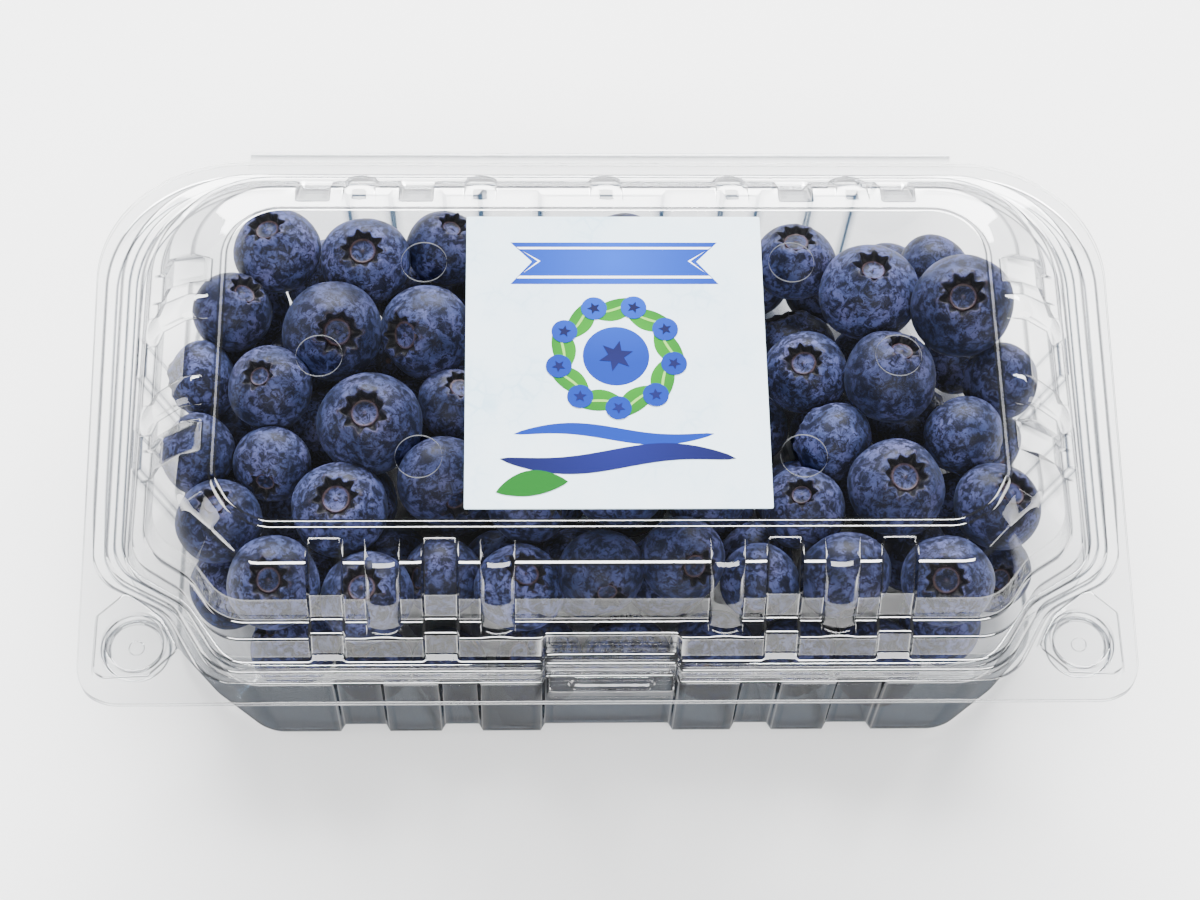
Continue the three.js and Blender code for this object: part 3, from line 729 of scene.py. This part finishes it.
def fill_panel(lid, film):
    """Fills the panel inside the last ring, round the vents, and turns the vents' edges down."""
    mesh = edit_mesh(lid)
    for edge in mesh.edges:
        edge.select_set(edge.is_boundary and min(v.co.z for v in edge.verts) > (LID_TOP_Z - 0.01) * MM)
    vents = [(side * x, y) for side in (-1, 1) for x, y in VENTS]
    for x, y in vents:
        hole = [mesh.verts.new(p) for p in circle_ring(x, y, VENT_RADIUS, LID_TOP_Z)]
        for ends in zip(hole, hole[1:] + hole[:1]):
            mesh.edges.new(ends).select_set(True)
    bmesh.update_edit_mesh(lid.data)
    bpy.ops.mesh.fill(use_beauty=True)
    face_outward()
    mesh = bmesh.from_edit_mesh(lid.data)
    bpy.ops.mesh.select_all(action="DESELECT")
    for edge in mesh.edges:
        middle = (edge.verts[0].co + edge.verts[1].co) / 2
        near = min((middle.xy / MM - Vector(v)).length for v in vents)
        high = middle.z > (LID_TOP_Z - 0.01) * MM
        edge.select_set(edge.is_boundary and high and near < VENT_RADIUS + 0.5)
    bmesh.update_edit_mesh(lid.data)
    bpy.ops.mesh.extrude_edges_move(TRANSFORM_OT_translate={"value": (0, 0, -film)})
    face_outward()
    bpy.ops.object.mode_set(mode="OBJECT")


def on_flange_edge(p):
    """True outside the bead, out at the flange's cut edge."""
    return abs(p.x) > 76.5 or abs(p.y - MID_Y) > 45 or abs(p.x) + abs(p.y - MID_Y) > 106


def at_vent_edge(p):
    return p.z > LID_TOP_Z - 0.4 and abs(p.z - LID_TOP_Z) > 0.05 and any(
        abs(math.hypot(abs(p.x) - x, p.y - y) - VENT_RADIUS) < 0.1 for x, y in VENTS)


def outline_ring(corners, x, y, z, scale, side, count=48):
    """A ring of points on a polygon's edges, one for each even turn about its middle."""
    points = []
    for way in map(Vector, turns(count)):
        hits = []
        for a, b in zip(corners, corners[1:] + corners[:1]):
            edge = b - a
            cross = way.x * edge.y - way.y * edge.x
            if abs(cross) >= 1e-9 and -1e-6 <= (a.x * way.y - a.y * way.x) / cross <= 1 + 1e-6:
                hits.append((a.x * edge.y - a.y * edge.x) / cross)
        p = way * min(hit for hit in hits if hit > 0) * scale
        points.append(Vector((x + side * p.x, y + p.y, z)) * MM)
    return points


class PUNNET_OT_buttons(bpy.types.Operator):
    """Form the corner buttons: a raised many-sided pad with a round cup and a small stud"""
    bl_idname = "punnet.buttons"
    bl_label = "Corner Buttons"

    def execute(self, context):
        foot = LID_FLANGE_Z + WALL
        top = foot + PAD_RISE
        buttons = []
        for side in (-1, 1):
            x, y = side * BUTTON[0], BUTTON[1]
            rings = [outline_ring(PAD_CORNERS, x, y, foot + SKIN_GAP, 1.0, side),
                     outline_ring(PAD_CORNERS, x, y, top - 0.2, 0.93, side)]
            rings += [circle_ring(x, y, radius, top + rise, side) for radius, rise in BUTTON_RINGS]
            rings = rounded(rings, [0, 0.25, 0.2, 0.15, 0.4, 0.1, 0])
            buttons.append(loft("corner_button", *rings, close_last=True))
        piece = join("corner_buttons", buttons)
        smooth(piece)
        dress(piece, bpy.data.materials["clear_pet_lid"])
        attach(piece, "lid")
        return {"FINISHED"}


def slab_ring(x, y, half_w, half_d, radius, z, count=9):
    """A rectangle with round corners, counter-clockwise."""
    points = []
    for k, (sx, sy) in enumerate(((1, -1), (1, 1), (-1, 1), (-1, -1))):
        for i in range(count):
            turn = math.radians(-90 + 90 * k + 90 * i / (count - 1))
            points.append(Vector((
                x + sx * (half_w - radius) + radius * math.cos(turn),
                y + sy * (half_d - radius) + radius * math.sin(turn), z)) * MM)
    return points


class PUNNET_OT_latch(bpy.types.Operator):
    """Form the latch block at the front with the pill that a thumb presses"""
    bl_idname = "punnet.latch"
    bl_label = "Latch"

    def execute(self, context):
        rings = [slab_ring(0, MID_Y - 44, *ring) for ring in LATCH_RINGS]
        latch = loft("latch_block", *rounded(rings, [0, 0.36, 0.15, 0.2, 0]), close_last=True)
        smooth(latch)
        dress(latch, bpy.data.materials["clear_pet_lid"])
        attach(latch, "lid")
        return {"FINISHED"}


class PUNNET_OT_hinge(bpy.types.Operator):
    """Fold the living hinge: a thin film that runs round the fold from flange to flange"""
    bl_idname = "punnet.hinge"
    bl_label = "Living Hinge"

    def execute(self, context):
        low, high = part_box("hinge")
        axis_y = (low[1] + high[1]) / 2
        bottom, top = TRAY_FLANGE_Z + WALL - 0.2, LID_FLANGE_Z + WALL - 0.2
        radius, middle = (top - bottom) / 2, (top + bottom) / 2
        start, bend = HINGE_LIP - 0.5, HINGE_LIP + 0.1
        path = [(start, bottom), (bend, bottom)]
        path += [(bend + 0.8 * radius * math.sin(t), middle - radius * math.cos(t))
                 for t in (math.pi * i / 12 for i in range(1, 12))]
        path += [(bend, top), (start, top)]
        last = len(path) - 1
        film = sheet("hinge_fold", 40, last, lambda across, along: (
            across * (HINGE_HALF - HINGE_TAPER), *path[round(along * last)]))
        pick(film)
        skin = film.modifiers.new("Thickness", "SOLIDIFY")
        skin.thickness, skin.offset = 0.25 * MM, 0
        bpy.ops.object.modifier_apply(modifier=skin.name)
        # The bend takes half a fold's painted line of light and shade.
        mark(film, "fold", lambda p: 0.5 * eased((p.y - HINGE_LIP) / 0.2))
        smooth(film)
        dress(film, clear_pet("creased_pet_hinge", (0.3, 0.32, 0.34), 0.12))
        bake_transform(film, "base", "lid", start=(0, axis_y, bottom * MM), end=(0, axis_y, top * MM))
        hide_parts("hinge")
        return {"FINISHED"}


# ---- Label

def flat_shape(name, outline, z, material, thickness=0.02):
    """A thin printed shape: an outline drawn up into a skin of ink."""
    rings = [[Vector((x, y, level)) * MM for x, y in outline] for level in (z, z + thickness)]
    shape = loft(name, rings, close_first=True, close_last=True)
    dress(shape, material)
    return shape


def disc(x, y, radius, count=40):
    return [(x - radius * c, y - radius * s) for c, s in turns(count)]


def leaf(x, y, length, width, turn, count=16):
    """A pointed leaf outline with a slight bend."""
    shares = [i / (count - 1) for i in range(count)]
    points = [(length * (t - 0.5), -width / 2 * math.sin(math.pi * t) ** 0.8) for t in shares]
    points += [(length * (t - 0.5), width / 2 * math.sin(math.pi * t) ** 0.8) for t in shares[-2:0:-1]]
    c, s = math.cos(turn), math.sin(turn)
    bent = [(px, py + 0.06 * length * (1 - (2 * px / length) ** 2)) for px, py in points]
    return [(x + c * px - s * py, y + s * px + c * py) for px, py in bent]


def star(x, y, outer, inner, tips, turn=0.0):
    points = []
    for i in range(2 * tips):
        r, t = inner if i % 2 else outer, turn + TAU * i / (2 * tips)
        points.append((x + r * math.cos(t), y + r * math.sin(t)))
    return points


def wave_band(x0, x1, y, swing, thick, count=30):
    """A brushed stripe: thick in the middle and drawn to a point at both ends."""
    low, high = [], []
    for i in range(count + 1):
        t = i / count
        x = x0 + (x1 - x0) * t
        mid = y + swing * math.sin(TAU * t)
        half = thick / 2 * math.sin(math.pi * t) ** 0.6 + 0.02
        low.append((x, mid - half))
        high.append((x, mid + half))
    return low + high[::-1]


def ribbon(y, half_w, half_d, tail, bend=0.012):
    """A swallow-tailed ribbon whose middle rises a little."""
    outline = [(-half_w, y - half_d), (half_w, y - half_d), (half_w - tail, y),
               (half_w, y + half_d), (-half_w, y + half_d), (-half_w + tail, y)]
    return [(px, py + bend * (RIBBON_HALF ** 2 - px ** 2) / 4) for px, py in outline]


# The print, about the label's middle.
RIBBON_Y, RIBBON_HALF, RIBBON_DEPTH = 16.2, 15.5, 3.6
WREATH_Y, WREATH_COUNT, LEAF_RING, FRUIT_RING = 0.4, 9, 8.2, 8.6


def wreath_place(index, ring):
    turn = TAU * index / WREATH_COUNT + 0.2
    return (ring * math.cos(turn), WREATH_Y + ring * math.sin(turn)), turn


class PUNNET_OT_label(bpy.types.Operator):
    """Lay the paper label on the lid and print it with a banner, a wreath and stripes"""
    bl_idname = "punnet.label"
    bl_label = "Label"

    def execute(self, context):
        colours = context.scene.punnet_colours
        low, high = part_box("label")
        x, y = (low[0] + high[0]) / 2 / MM, (low[1] + high[1]) / 2 / MM
        half_w, half_d = (high[0] - low[0]) / 2 / MM, (high[1] - low[1]) / 2 / MM
        z = LID_TOP_Z + SKIN_GAP
        rings = [slab_ring(x, y, half_w, half_d, 0.3, z), slab_ring(x, y, half_w, half_d, 0.3, z + 0.14),
                 slab_ring(x, y, half_w - 0.1, half_d - 0.1, 0.25, z + 0.16)]
        paper = loft("label_sheet", *rounded(rings, [0, 0.03, 0]), close_first=True, close_last=True)
        dress(paper, label_paper(colours))
        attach(paper, "lid")
        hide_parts("label")
        motifs = join("label_print", self.print_motifs(x, y, z + 0.16, colours))
        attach(motifs, "lid")
        return {"FINISHED"}

    def print_motifs(self, x, y, z, colours):
        """Stamps every motif with its own lift over the paper, so that none shares a plane."""
        shapes = []

        def ink(name, inner, outer, rise, reach):
            return label_ink(name, inner, outer, (x * MM, (y + rise) * MM, z * MM), reach * MM)

        def stamp(name, outline, lift, material):
            moved = [(x + px, y + py) for px, py in outline]
            shapes.append(flat_shape(name, moved, z + lift, material))

        navy = ink("navy_ink", "12185c", "070a34", -14, 22)
        blue = ink("blue_ink", colours.banner, "052a86", 17, 18)
        white = ink("white_ink", "ffffff", "f4faff", 0, 30)
        green = ink("green_ink", "2f8a1a", "0e5a1a", 1, 13)
        pale = ink("pale_green_ink", "8cc456", "62a844", 0, 20)
        for inset, material, lift in ((0, blue, 0), (0.9, white, 0.02), (1.3, blue, 0.04)):
            outline = ribbon(RIBBON_Y, RIBBON_HALF - inset, RIBBON_DEPTH - inset, 3.2)
            stamp("banner", outline, lift, material)
        for i in range(WREATH_COUNT):
            place, turn = wreath_place(i, LEAF_RING)
            stamp("leaf", leaf(*place, 8, 3.5, turn + 1.9), 0.003 * i, green)
            stamp("vein", leaf(*place, 6.2, 0.4, turn + 1.9), 0.03 + 0.003 * i, pale)
            place, turn = wreath_place(i + 0.5, FRUIT_RING)
            stamp("fruit", disc(*place, 1.9), 0.08, blue)
            stamp("fruit_eye", star(*place, 1, 0.45, 5, turn), 0.11, navy)
        stamp("fruit", disc(0, WREATH_Y, 4.9), 0, blue)
        stamp("fruit_eye", star(0, WREATH_Y, 2.6, 1.2, 6, 0.3), 0.03, navy)
        stamp("stripe", wave_band(-15, 14, -12.4, 0.9, 2.1), 0, blue)
        stamp("stripe", wave_band(-17, 17, -16.4, -1.1, 3.2), 0.03, navy)
        stamp("seal", leaf(-12.4, -20.9, 10.5, 4, 0.16), 0.06, green)
        return shapes


# ---- Blueberries

# The berries that show from above: place, height of the middle and diameter.
UPPER = [
    (-51.9, 31.1, 17.2, 14), (-39.1, 29.9, 13.8, 14), (-25.4, 32.5, 14, 12.4), (-43.6, 15, 20.7, 15.6),
    (-28, 16.4, 19.8, 14.8), (-51.9, 4.1, 18.9, 12.8), (-36.3, -0.4, 21.5, 15.6), (-23.9, 4.9, 16.3, 12),
    (-54.4, -2.6, 14.6, 12), (-58.9, 20.1, 13.8, 12.8), (-40.6, -14.2, 19.8, 14.2),
    (-59.1, -15.5, 17.2, 13), (-50.2, -26.8, 19.8, 13.8), (-35.3, -28.2, 18.9, 13.8),
    (-25.1, -9.4, 18.1, 13.8), (-24.5, -24, 13.5, 12.4), (-13.6, -26, 16, 13.2), (-2.5, -24.6, 17.2, 12.8),
    (10.1, -23, 17.2, 12.8), (-12, -12, 18, 13.4), (2, -10, 18.6, 14.2), (15.5, -11, 17.6, 13),
    (-10, 4, 18.4, 14.6), (6, 4.5, 17.8, 13.2), (19, 3, 18.6, 13.8), (-13, 18, 17.2, 13.6),
    (1, 19, 18.4, 14.8), (16, 17.5, 17.4, 13), (-11, 31, 14, 13), (4, 32, 13.6, 12.4),
    (18, 31, 14, 13.2), (31.1, 30.5, 16.3, 13), (43.1, 23.1, 20.7, 15.6), (57.4, 16.4, 20.7, 15.8),
    (31.8, 10.6, 17.2, 13), (45, 7.5, 18.9, 14.4), (56.5, 0.3, 16.3, 13), (35.4, -2.4, 15.5, 12.6),
    (52.4, 29.8, 12, 12), (66.5, 9.5, 13.8, 12.2), (44.3, -11.3, 20.7, 15), (30.5, -14, 17.2, 12.8),
    (60.1, -13.6, 18.9, 13.6), (51.1, -26.8, 19.8, 13.8), (35.7, -24.3, 17.2, 13.6),
    (23.2, -24.4, 14, 12), (-62, 9.5, 13.8, 12), (-63.5, -4, 15.5, 12),
]
# Where their crowns point, but for those under the label: lean from upright and way round, in degrees.
CROWNS = dict(enumerate([
    (17, 148), (12, -103), (20, 40), (33, -69), (50, -143), (15, -163), (12, -115), (18, 42),
    (65, -100), (32, 24), (8, -113), (6, 108), (18, -95), (8, -139), (70, -60), (55, 200), (12, 20),
    (65, -80), (42, -59)]))
CROWNS.update(enumerate([
    (16, 94), (8, 83), (17, -117), (12, -138), (24, 53), (110, -60), (96, 150), (120, 20), (105, 160),
    (10, -48), (9, 171), (18, -3), (24, -117), (95, -80), (75, -95), (100, 190), (85, 170)], 31))
LOWER_PITCH = 13.6
LOWER_SIZES = (11.4, 14.2)
LOWER_Z = 7
LOWER_REACH = 94  # the lower rows leave out the tray's corners beyond this distance
JITTER = 1.6
SEED = 2207
PASSES = 90
PRESS = 0.965  # berries may press into each other down to this share of their distance
BERRY_GAP = 0.8
ROOM = {"w": 66.2, "h": 41.2, "front_cut": 20, "rear_cut": 15, "floor": 0.5, "slope": 0.2}


def seeded_draws(seed):
    state = seed
    while True:
        state = (state * 1664525 + 1013904223) % 4294967296
        yield state / 4294967296


def keep_inside(berry):
    """Keeps one berry inside the tray: off the floor, the walls and the cut corners."""
    gap = BERRY_GAP + berry["r"]
    berry["z"] = max(berry["z"], ROOM["floor"] + gap)
    width = ROOM["w"] + ROOM["slope"] * berry["z"]
    reach_x = width - gap
    reach_y = ROOM["h"] + 0.02 * berry["z"] - gap
    berry["x"] = min(max(berry["x"], -reach_x), reach_x)
    berry["y"] = min(max(berry["y"], MID_Y - reach_y), MID_Y + reach_y)
    side = 1 if berry["x"] >= 0 else -1
    end = 1 if berry["y"] >= MID_Y else -1
    cut = ROOM["front_cut"] if end < 0 else ROOM["rear_cut"]
    over = abs(berry["x"]) + abs(berry["y"] - MID_Y) - (width + ROOM["h"] - cut - gap * math.sqrt(2))
    if over > 0:
        berry["x"] -= side * over / 2
        berry["y"] -= end * over / 2


def push_apart(a, b):
    """Moves two berries that overlap away from each other, the ones that show less along the floor."""
    away = [b[k] - a[k] for k in "xyz"]
    far = math.sqrt(sum(d * d for d in away)) or 1e-6
    overlap = PRESS * (a["r"] + b["r"]) - far
    if overlap <= 0:
        return
    share = 0.5 * overlap / far
    for k, d in zip("xyz", away):
        part_a, part_b = (piece["free"] / (a["free"] + b["free"]) if k != "z" else 0.5 for piece in (a, b))
        a[k] -= d * share * part_a
        b[k] += d * share * part_b


def pack_berries():
    """Rows on the floor under the berries that show, pushed apart until none overlaps much."""
    draw = seeded_draws(SEED)
    berries = [{"x": x, "y": y, "z": z, "r": d / 2, "free": 0.25} for x, y, z, d in UPPER]
    for row in range(6):
        for column in range(10):
            x = (column - 4.5 + 0.5 * (row % 2) - 0.25) * LOWER_PITCH + JITTER * (next(draw) - 0.5)
            y = MID_Y + (row - 2.5) * LOWER_PITCH * 0.97 + JITTER * (next(draw) - 0.5)
            r = (LOWER_SIZES[0] + (LOWER_SIZES[1] - LOWER_SIZES[0]) * next(draw)) / 2
            if abs(x) + abs(y - MID_Y) < LOWER_REACH:
                berries.append({"x": x, "y": y, "z": LOWER_Z, "r": r, "free": 1})
    for _ in range(PASSES):
        for i, a in enumerate(berries):
            for b in berries[i + 1:]:
                push_apart(a, b)
        for berry in berries:
            keep_inside(berry)
    return berries


def crown_edge(crown, teeth, seed, turn):
    """Radius of a crown's ragged edge at a turn: a ring of uneven points."""
    tooth = (0.5 + 0.5 * math.cos(teeth * turn + seed)) ** 1.4
    uneven, fine = (noise.noise(Vector((size * math.cos(turn), size * math.sin(turn), seed)))
                    for size in (1.6, 5))
    return crown * (0.84 + 0.24 * tooth * (1 + 0.8 * uneven) + 0.06 * fine)


# A crown's rings: share of its radius, height, and how far the ragged edge draws the ring.
CROWN_RINGS = [(0.05, 0.825, 0), (0.14, 0.8, 0), (0.52, 0.79, 0), (0.63, 0.815, 0), (0.7, 0.775, 0),
               (0.8, 0.8, 0.6), (0.9, 0.88, 0.9), (1, 0.955, 1), (1.06, 0.968, 1), (1.16, 0.945, 0.8),
               (1.32, 0.915, 0.35)]
BODY_RINGS = 17
BERRY_POINTS = 72


def berry_rings(crown, teeth, flat, seed):
    """Rings of one berry of unit radius, from the middle of its crown round to the stem's scar."""
    profile = list(CROWN_RINGS)
    start = math.asin(1.55 * crown)
    for i in range(BODY_RINGS):
        turn = start + (math.pi - 0.2 - start) * i / (BODY_RINGS - 1)
        profile.append((math.sin(turn) / crown, math.cos(turn), 0))
    profile += [(0.1 / crown, -0.965, 0), (0.05 / crown, -0.94, 0)]
    rings = []
    for share, height, drawn in profile:
        points = []
        for i, (c, s) in enumerate(turns(BERRY_POINTS)):
            edge = crown_edge(crown, teeth, seed, TAU * i / BERRY_POINTS) / crown
            r = crown * share * (1 + drawn * (edge - 1))
            lift = 0.035 * drawn * noise.noise(Vector((4 * c, 4 * s, seed + 5)))
            p = Vector((r * c, r * s, height + lift))
            swell = 1 + 0.05 * noise.noise(p * 1.2 + Vector((seed, 0, 0)))
            points.append(Vector((p.x * swell, p.y * swell, p.z * flat * swell)))
        rings.append(points)
    return rings


def berry_kind(name, crown, teeth, flat, seed):
    """One blueberry, its crown up: a squat ball with a bowl that has a ragged rim and a flat scar, and a
    mark for the painted shade inside the bowl.
    """
    piece = loft(name, berry_rings(crown, teeth, flat, seed)[::-1], close_first=True, close_last=True)
    smooth(piece, 70)
    hollow_shades, rusts = [], []
    for vert in piece.data.vertices:
        reach = math.hypot(vert.co.x, vert.co.y)
        edge = crown_edge(crown, teeth, seed, math.atan2(vert.co.y, vert.co.x))
        hollow_shade, rust = 0, 0.8 * eased((0.1 - reach) / 0.05)
        if vert.co.z > 0:
            # The steep wall under the crown's rim takes a painted shade.
            hollow_shade = eased((reach / crown - 0.64) / 0.06) * eased((1.06 * edge - reach) / 0.03)
            rust = max(0.75 * eased(1 - abs(reach / crown - 0.63) / 0.09),
                       0.4 * eased(1 - reach / (0.12 * crown)),
                       0.35 * eased(1 - abs(reach / edge - 1.1) / 0.06))
        hollow_shades.append(hollow_shade)
        rusts.append(rust)
    store(piece.data, "crown_hollow_shade", hollow_shades)
    store(piece.data, "berry_rust", rusts)
    return piece


class PUNNET_OT_berries(bpy.types.Operator):
    """Fill the tray with blueberries of three kinds, each turned and sized by its own draw"""
    bl_idname = "punnet.berries"
    bl_label = "Blueberries"

    def execute(self, context):
        sizes, colours = context.scene.punnet_sizes, context.scene.punnet_colours
        skin = berry_skin(sizes, colours)
        kinds = [berry_kind("berries_round", sizes.crown, 9, 0.9, 0.3),
                 berry_kind("berries_wide", 1.08 * sizes.crown, 10, 0.85, 1.7),
                 berry_kind("berries_plain", 0.88 * sizes.crown, 8, 0.93, 2.9)]
        draw = seeded_draws(SEED + 1)
        crops = [[] for _ in kinds]
        for index, berry in enumerate(pack_berries()):
            kind = index % 3
            lean, way = 25 + 130 * next(draw), 360 * next(draw)
            if index < len(UPPER):
                lean, way = 60 * next(draw), 360 * next(draw)
            lean, way = CROWNS.get(index, (lean, way))
            tilt = (Matrix.Rotation(math.radians(way), 4, "Z")
                    @ Matrix.Rotation(math.radians(lean), 4, "Y")
                    @ Matrix.Rotation(TAU * next(draw), 4, "Z"))
            sizes_xyz = [berry["r"] * MM * (1.02 + 0.06 * (next(draw) - 0.5)) for _ in "xyz"]
            grow = Matrix.Diagonal((*sizes_xyz, 1))
            place = Matrix.Translation(Vector((berry["x"], berry["y"], berry["z"])) * MM)
            crops[kind].append(self.copy(kinds[kind], place @ tilt @ grow, 0.55 + 0.45 * next(draw)))
        for kind, copies in zip(kinds, crops):
            name = kind.name
            bpy.data.objects.remove(kind)
            crop = join(name, copies)
            dress(crop, skin)
            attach(crop, "base")
            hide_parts("berries")
        return {"FINISHED"}

    def copy(self, kind, matrix, tone):
        mesh = kind.data.copy()
        mesh.transform(matrix)
        store(mesh, "berry_tone", [tone] * len(mesh.vertices))
        piece = bpy.data.objects.new(kind.name, mesh)
        bpy.context.scene.collection.objects.link(piece)
        return piece


# ---- Stage

FLOOR_Z = -0.3 * MM
# Area lights, in metres: place, height of the point they face, width and height, and watts.
LIGHTS = {
    "front_box": ((0.05, -0.78, 0.86), 0.02, (1.2, 0.34), 20),
    "back_box": ((0.05, 1.0, 0.74), 0.02, (1.3, 0.5), 102),
    "left_strip": ((-0.85, -0.02, 0.55), 0.03, (0.4, 0.8), 6),
    "right_strip": ((0.9, 0.02, 0.5), 0.03, (0.36, 0.8), 4.5),
}
# The camera looks down from the front on a point at the flange's height.
CAMERA_TARGET = Vector((-1.06, -6.62, 24.6)) * MM
CAMERA_FAR = 394.4 * MM
CAMERA_PITCH = 63.4
CAMERA_YAW = -3.81
CAMERA_ROLL = 3.31
CAMERA_LENS = 77.76


class PUNNET_OT_stage(bpy.types.Operator):
    """Set the pale floor, the soft lights and the camera"""
    bl_idname = "punnet.stage"
    bl_label = "Stage"

    def execute(self, context):
        deselect_all()
        bpy.ops.mesh.primitive_plane_add(size=4, location=(0, 0, FLOOR_Z))
        floor = context.object
        floor.name = "floor"
        dress(floor, self.table())
        for name, settings in LIGHTS.items():
            self.light(name, *settings)
        world = bpy.data.worlds.new("soft_room")
        world.use_nodes = True
        room = world.node_tree.nodes["Background"].inputs
        room["Color"].default_value = (0.95, 0.97, 1, 1)
        room["Strength"].default_value = 0.13
        context.scene.world = world
        self.camera(context)
        return {"FINISHED"}

    def table(self):
        """Matt white table, plain all over."""
        material, tree = new_material("matt_white_table")
        principled(tree, Base_Color=opaque((1, 1, 1)), Roughness=0.95, Specular_IOR_Level=0.1)
        return material

    def light(self, name, place, aim_z, size, power):
        data = bpy.data.lights.new(name, "AREA")
        data.shape = "RECTANGLE"
        data.size, data.size_y = size
        data.energy = power
        lamp = bpy.data.objects.new(name, data)
        lamp.location = place
        back = Vector(place) - Vector((0, 0, aim_z))
        lamp.rotation_euler = back.to_track_quat("Z", "Y").to_euler()
        bpy.context.scene.collection.objects.link(lamp)

    def camera(self, context):
        pitch, yaw = math.radians(CAMERA_PITCH), math.radians(CAMERA_YAW)
        back = Vector((math.sin(yaw) * math.cos(pitch), -math.cos(yaw) * math.cos(pitch), math.sin(pitch)))
        data = bpy.data.cameras.new("camera")
        data.lens = CAMERA_LENS
        data.sensor_width = 36
        data.clip_start = 0.01
        camera = bpy.data.objects.new("camera", data)
        turn = back.to_track_quat("Z", "Y").to_matrix() @ Matrix.Rotation(math.radians(CAMERA_ROLL), 3, "Z")
        camera.matrix_world = Matrix.Translation(CAMERA_TARGET + back * CAMERA_FAR) @ turn.to_4x4()
        context.scene.collection.objects.link(camera)
        context.scene.camera = camera


class PUNNET_PT_panel(bpy.types.Panel):
    """Lists the punnet's sizes, colours and pieces"""
    bl_label = "Punnet"
    bl_idname = "PUNNET_PT_panel"
    bl_space_type = "VIEW_3D"
    bl_region_type = "UI"
    bl_category = "Punnet"

    def draw(self, context):
        for settings in (context.scene.punnet_sizes, context.scene.punnet_colours):
            for key in settings.__annotations__:
                self.layout.prop(settings, key)
        for operator in STEPS:
            self.layout.operator(operator.bl_idname)


STEPS = [PUNNET_OT_stage, PUNNET_OT_tray, PUNNET_OT_lid, PUNNET_OT_buttons, PUNNET_OT_latch,
         PUNNET_OT_hinge, PUNNET_OT_label, PUNNET_OT_berries]
CLASSES = [PunnetSizes, PunnetColours, *STEPS, PUNNET_PT_panel]


def register():
    for cls in CLASSES:
        bpy.utils.register_class(cls)
    bpy.types.Scene.punnet_sizes = bpy.props.PointerProperty(type=PunnetSizes)
    bpy.types.Scene.punnet_colours = bpy.props.PointerProperty(type=PunnetColours)


def unregister():
    del bpy.types.Scene.punnet_colours
    del bpy.types.Scene.punnet_sizes
    for cls in reversed(CLASSES):
        bpy.utils.unregister_class(cls)


def main():
    register()
    bpy.ops.punnet.stage()
    bpy.ops.punnet.tray()
    bpy.ops.punnet.lid()
    bpy.ops.punnet.buttons()
    bpy.ops.punnet.latch()
    bpy.ops.punnet.hinge()
    bpy.ops.punnet.label()
    bpy.ops.punnet.berries()


if __name__ == "__main__":
    main()
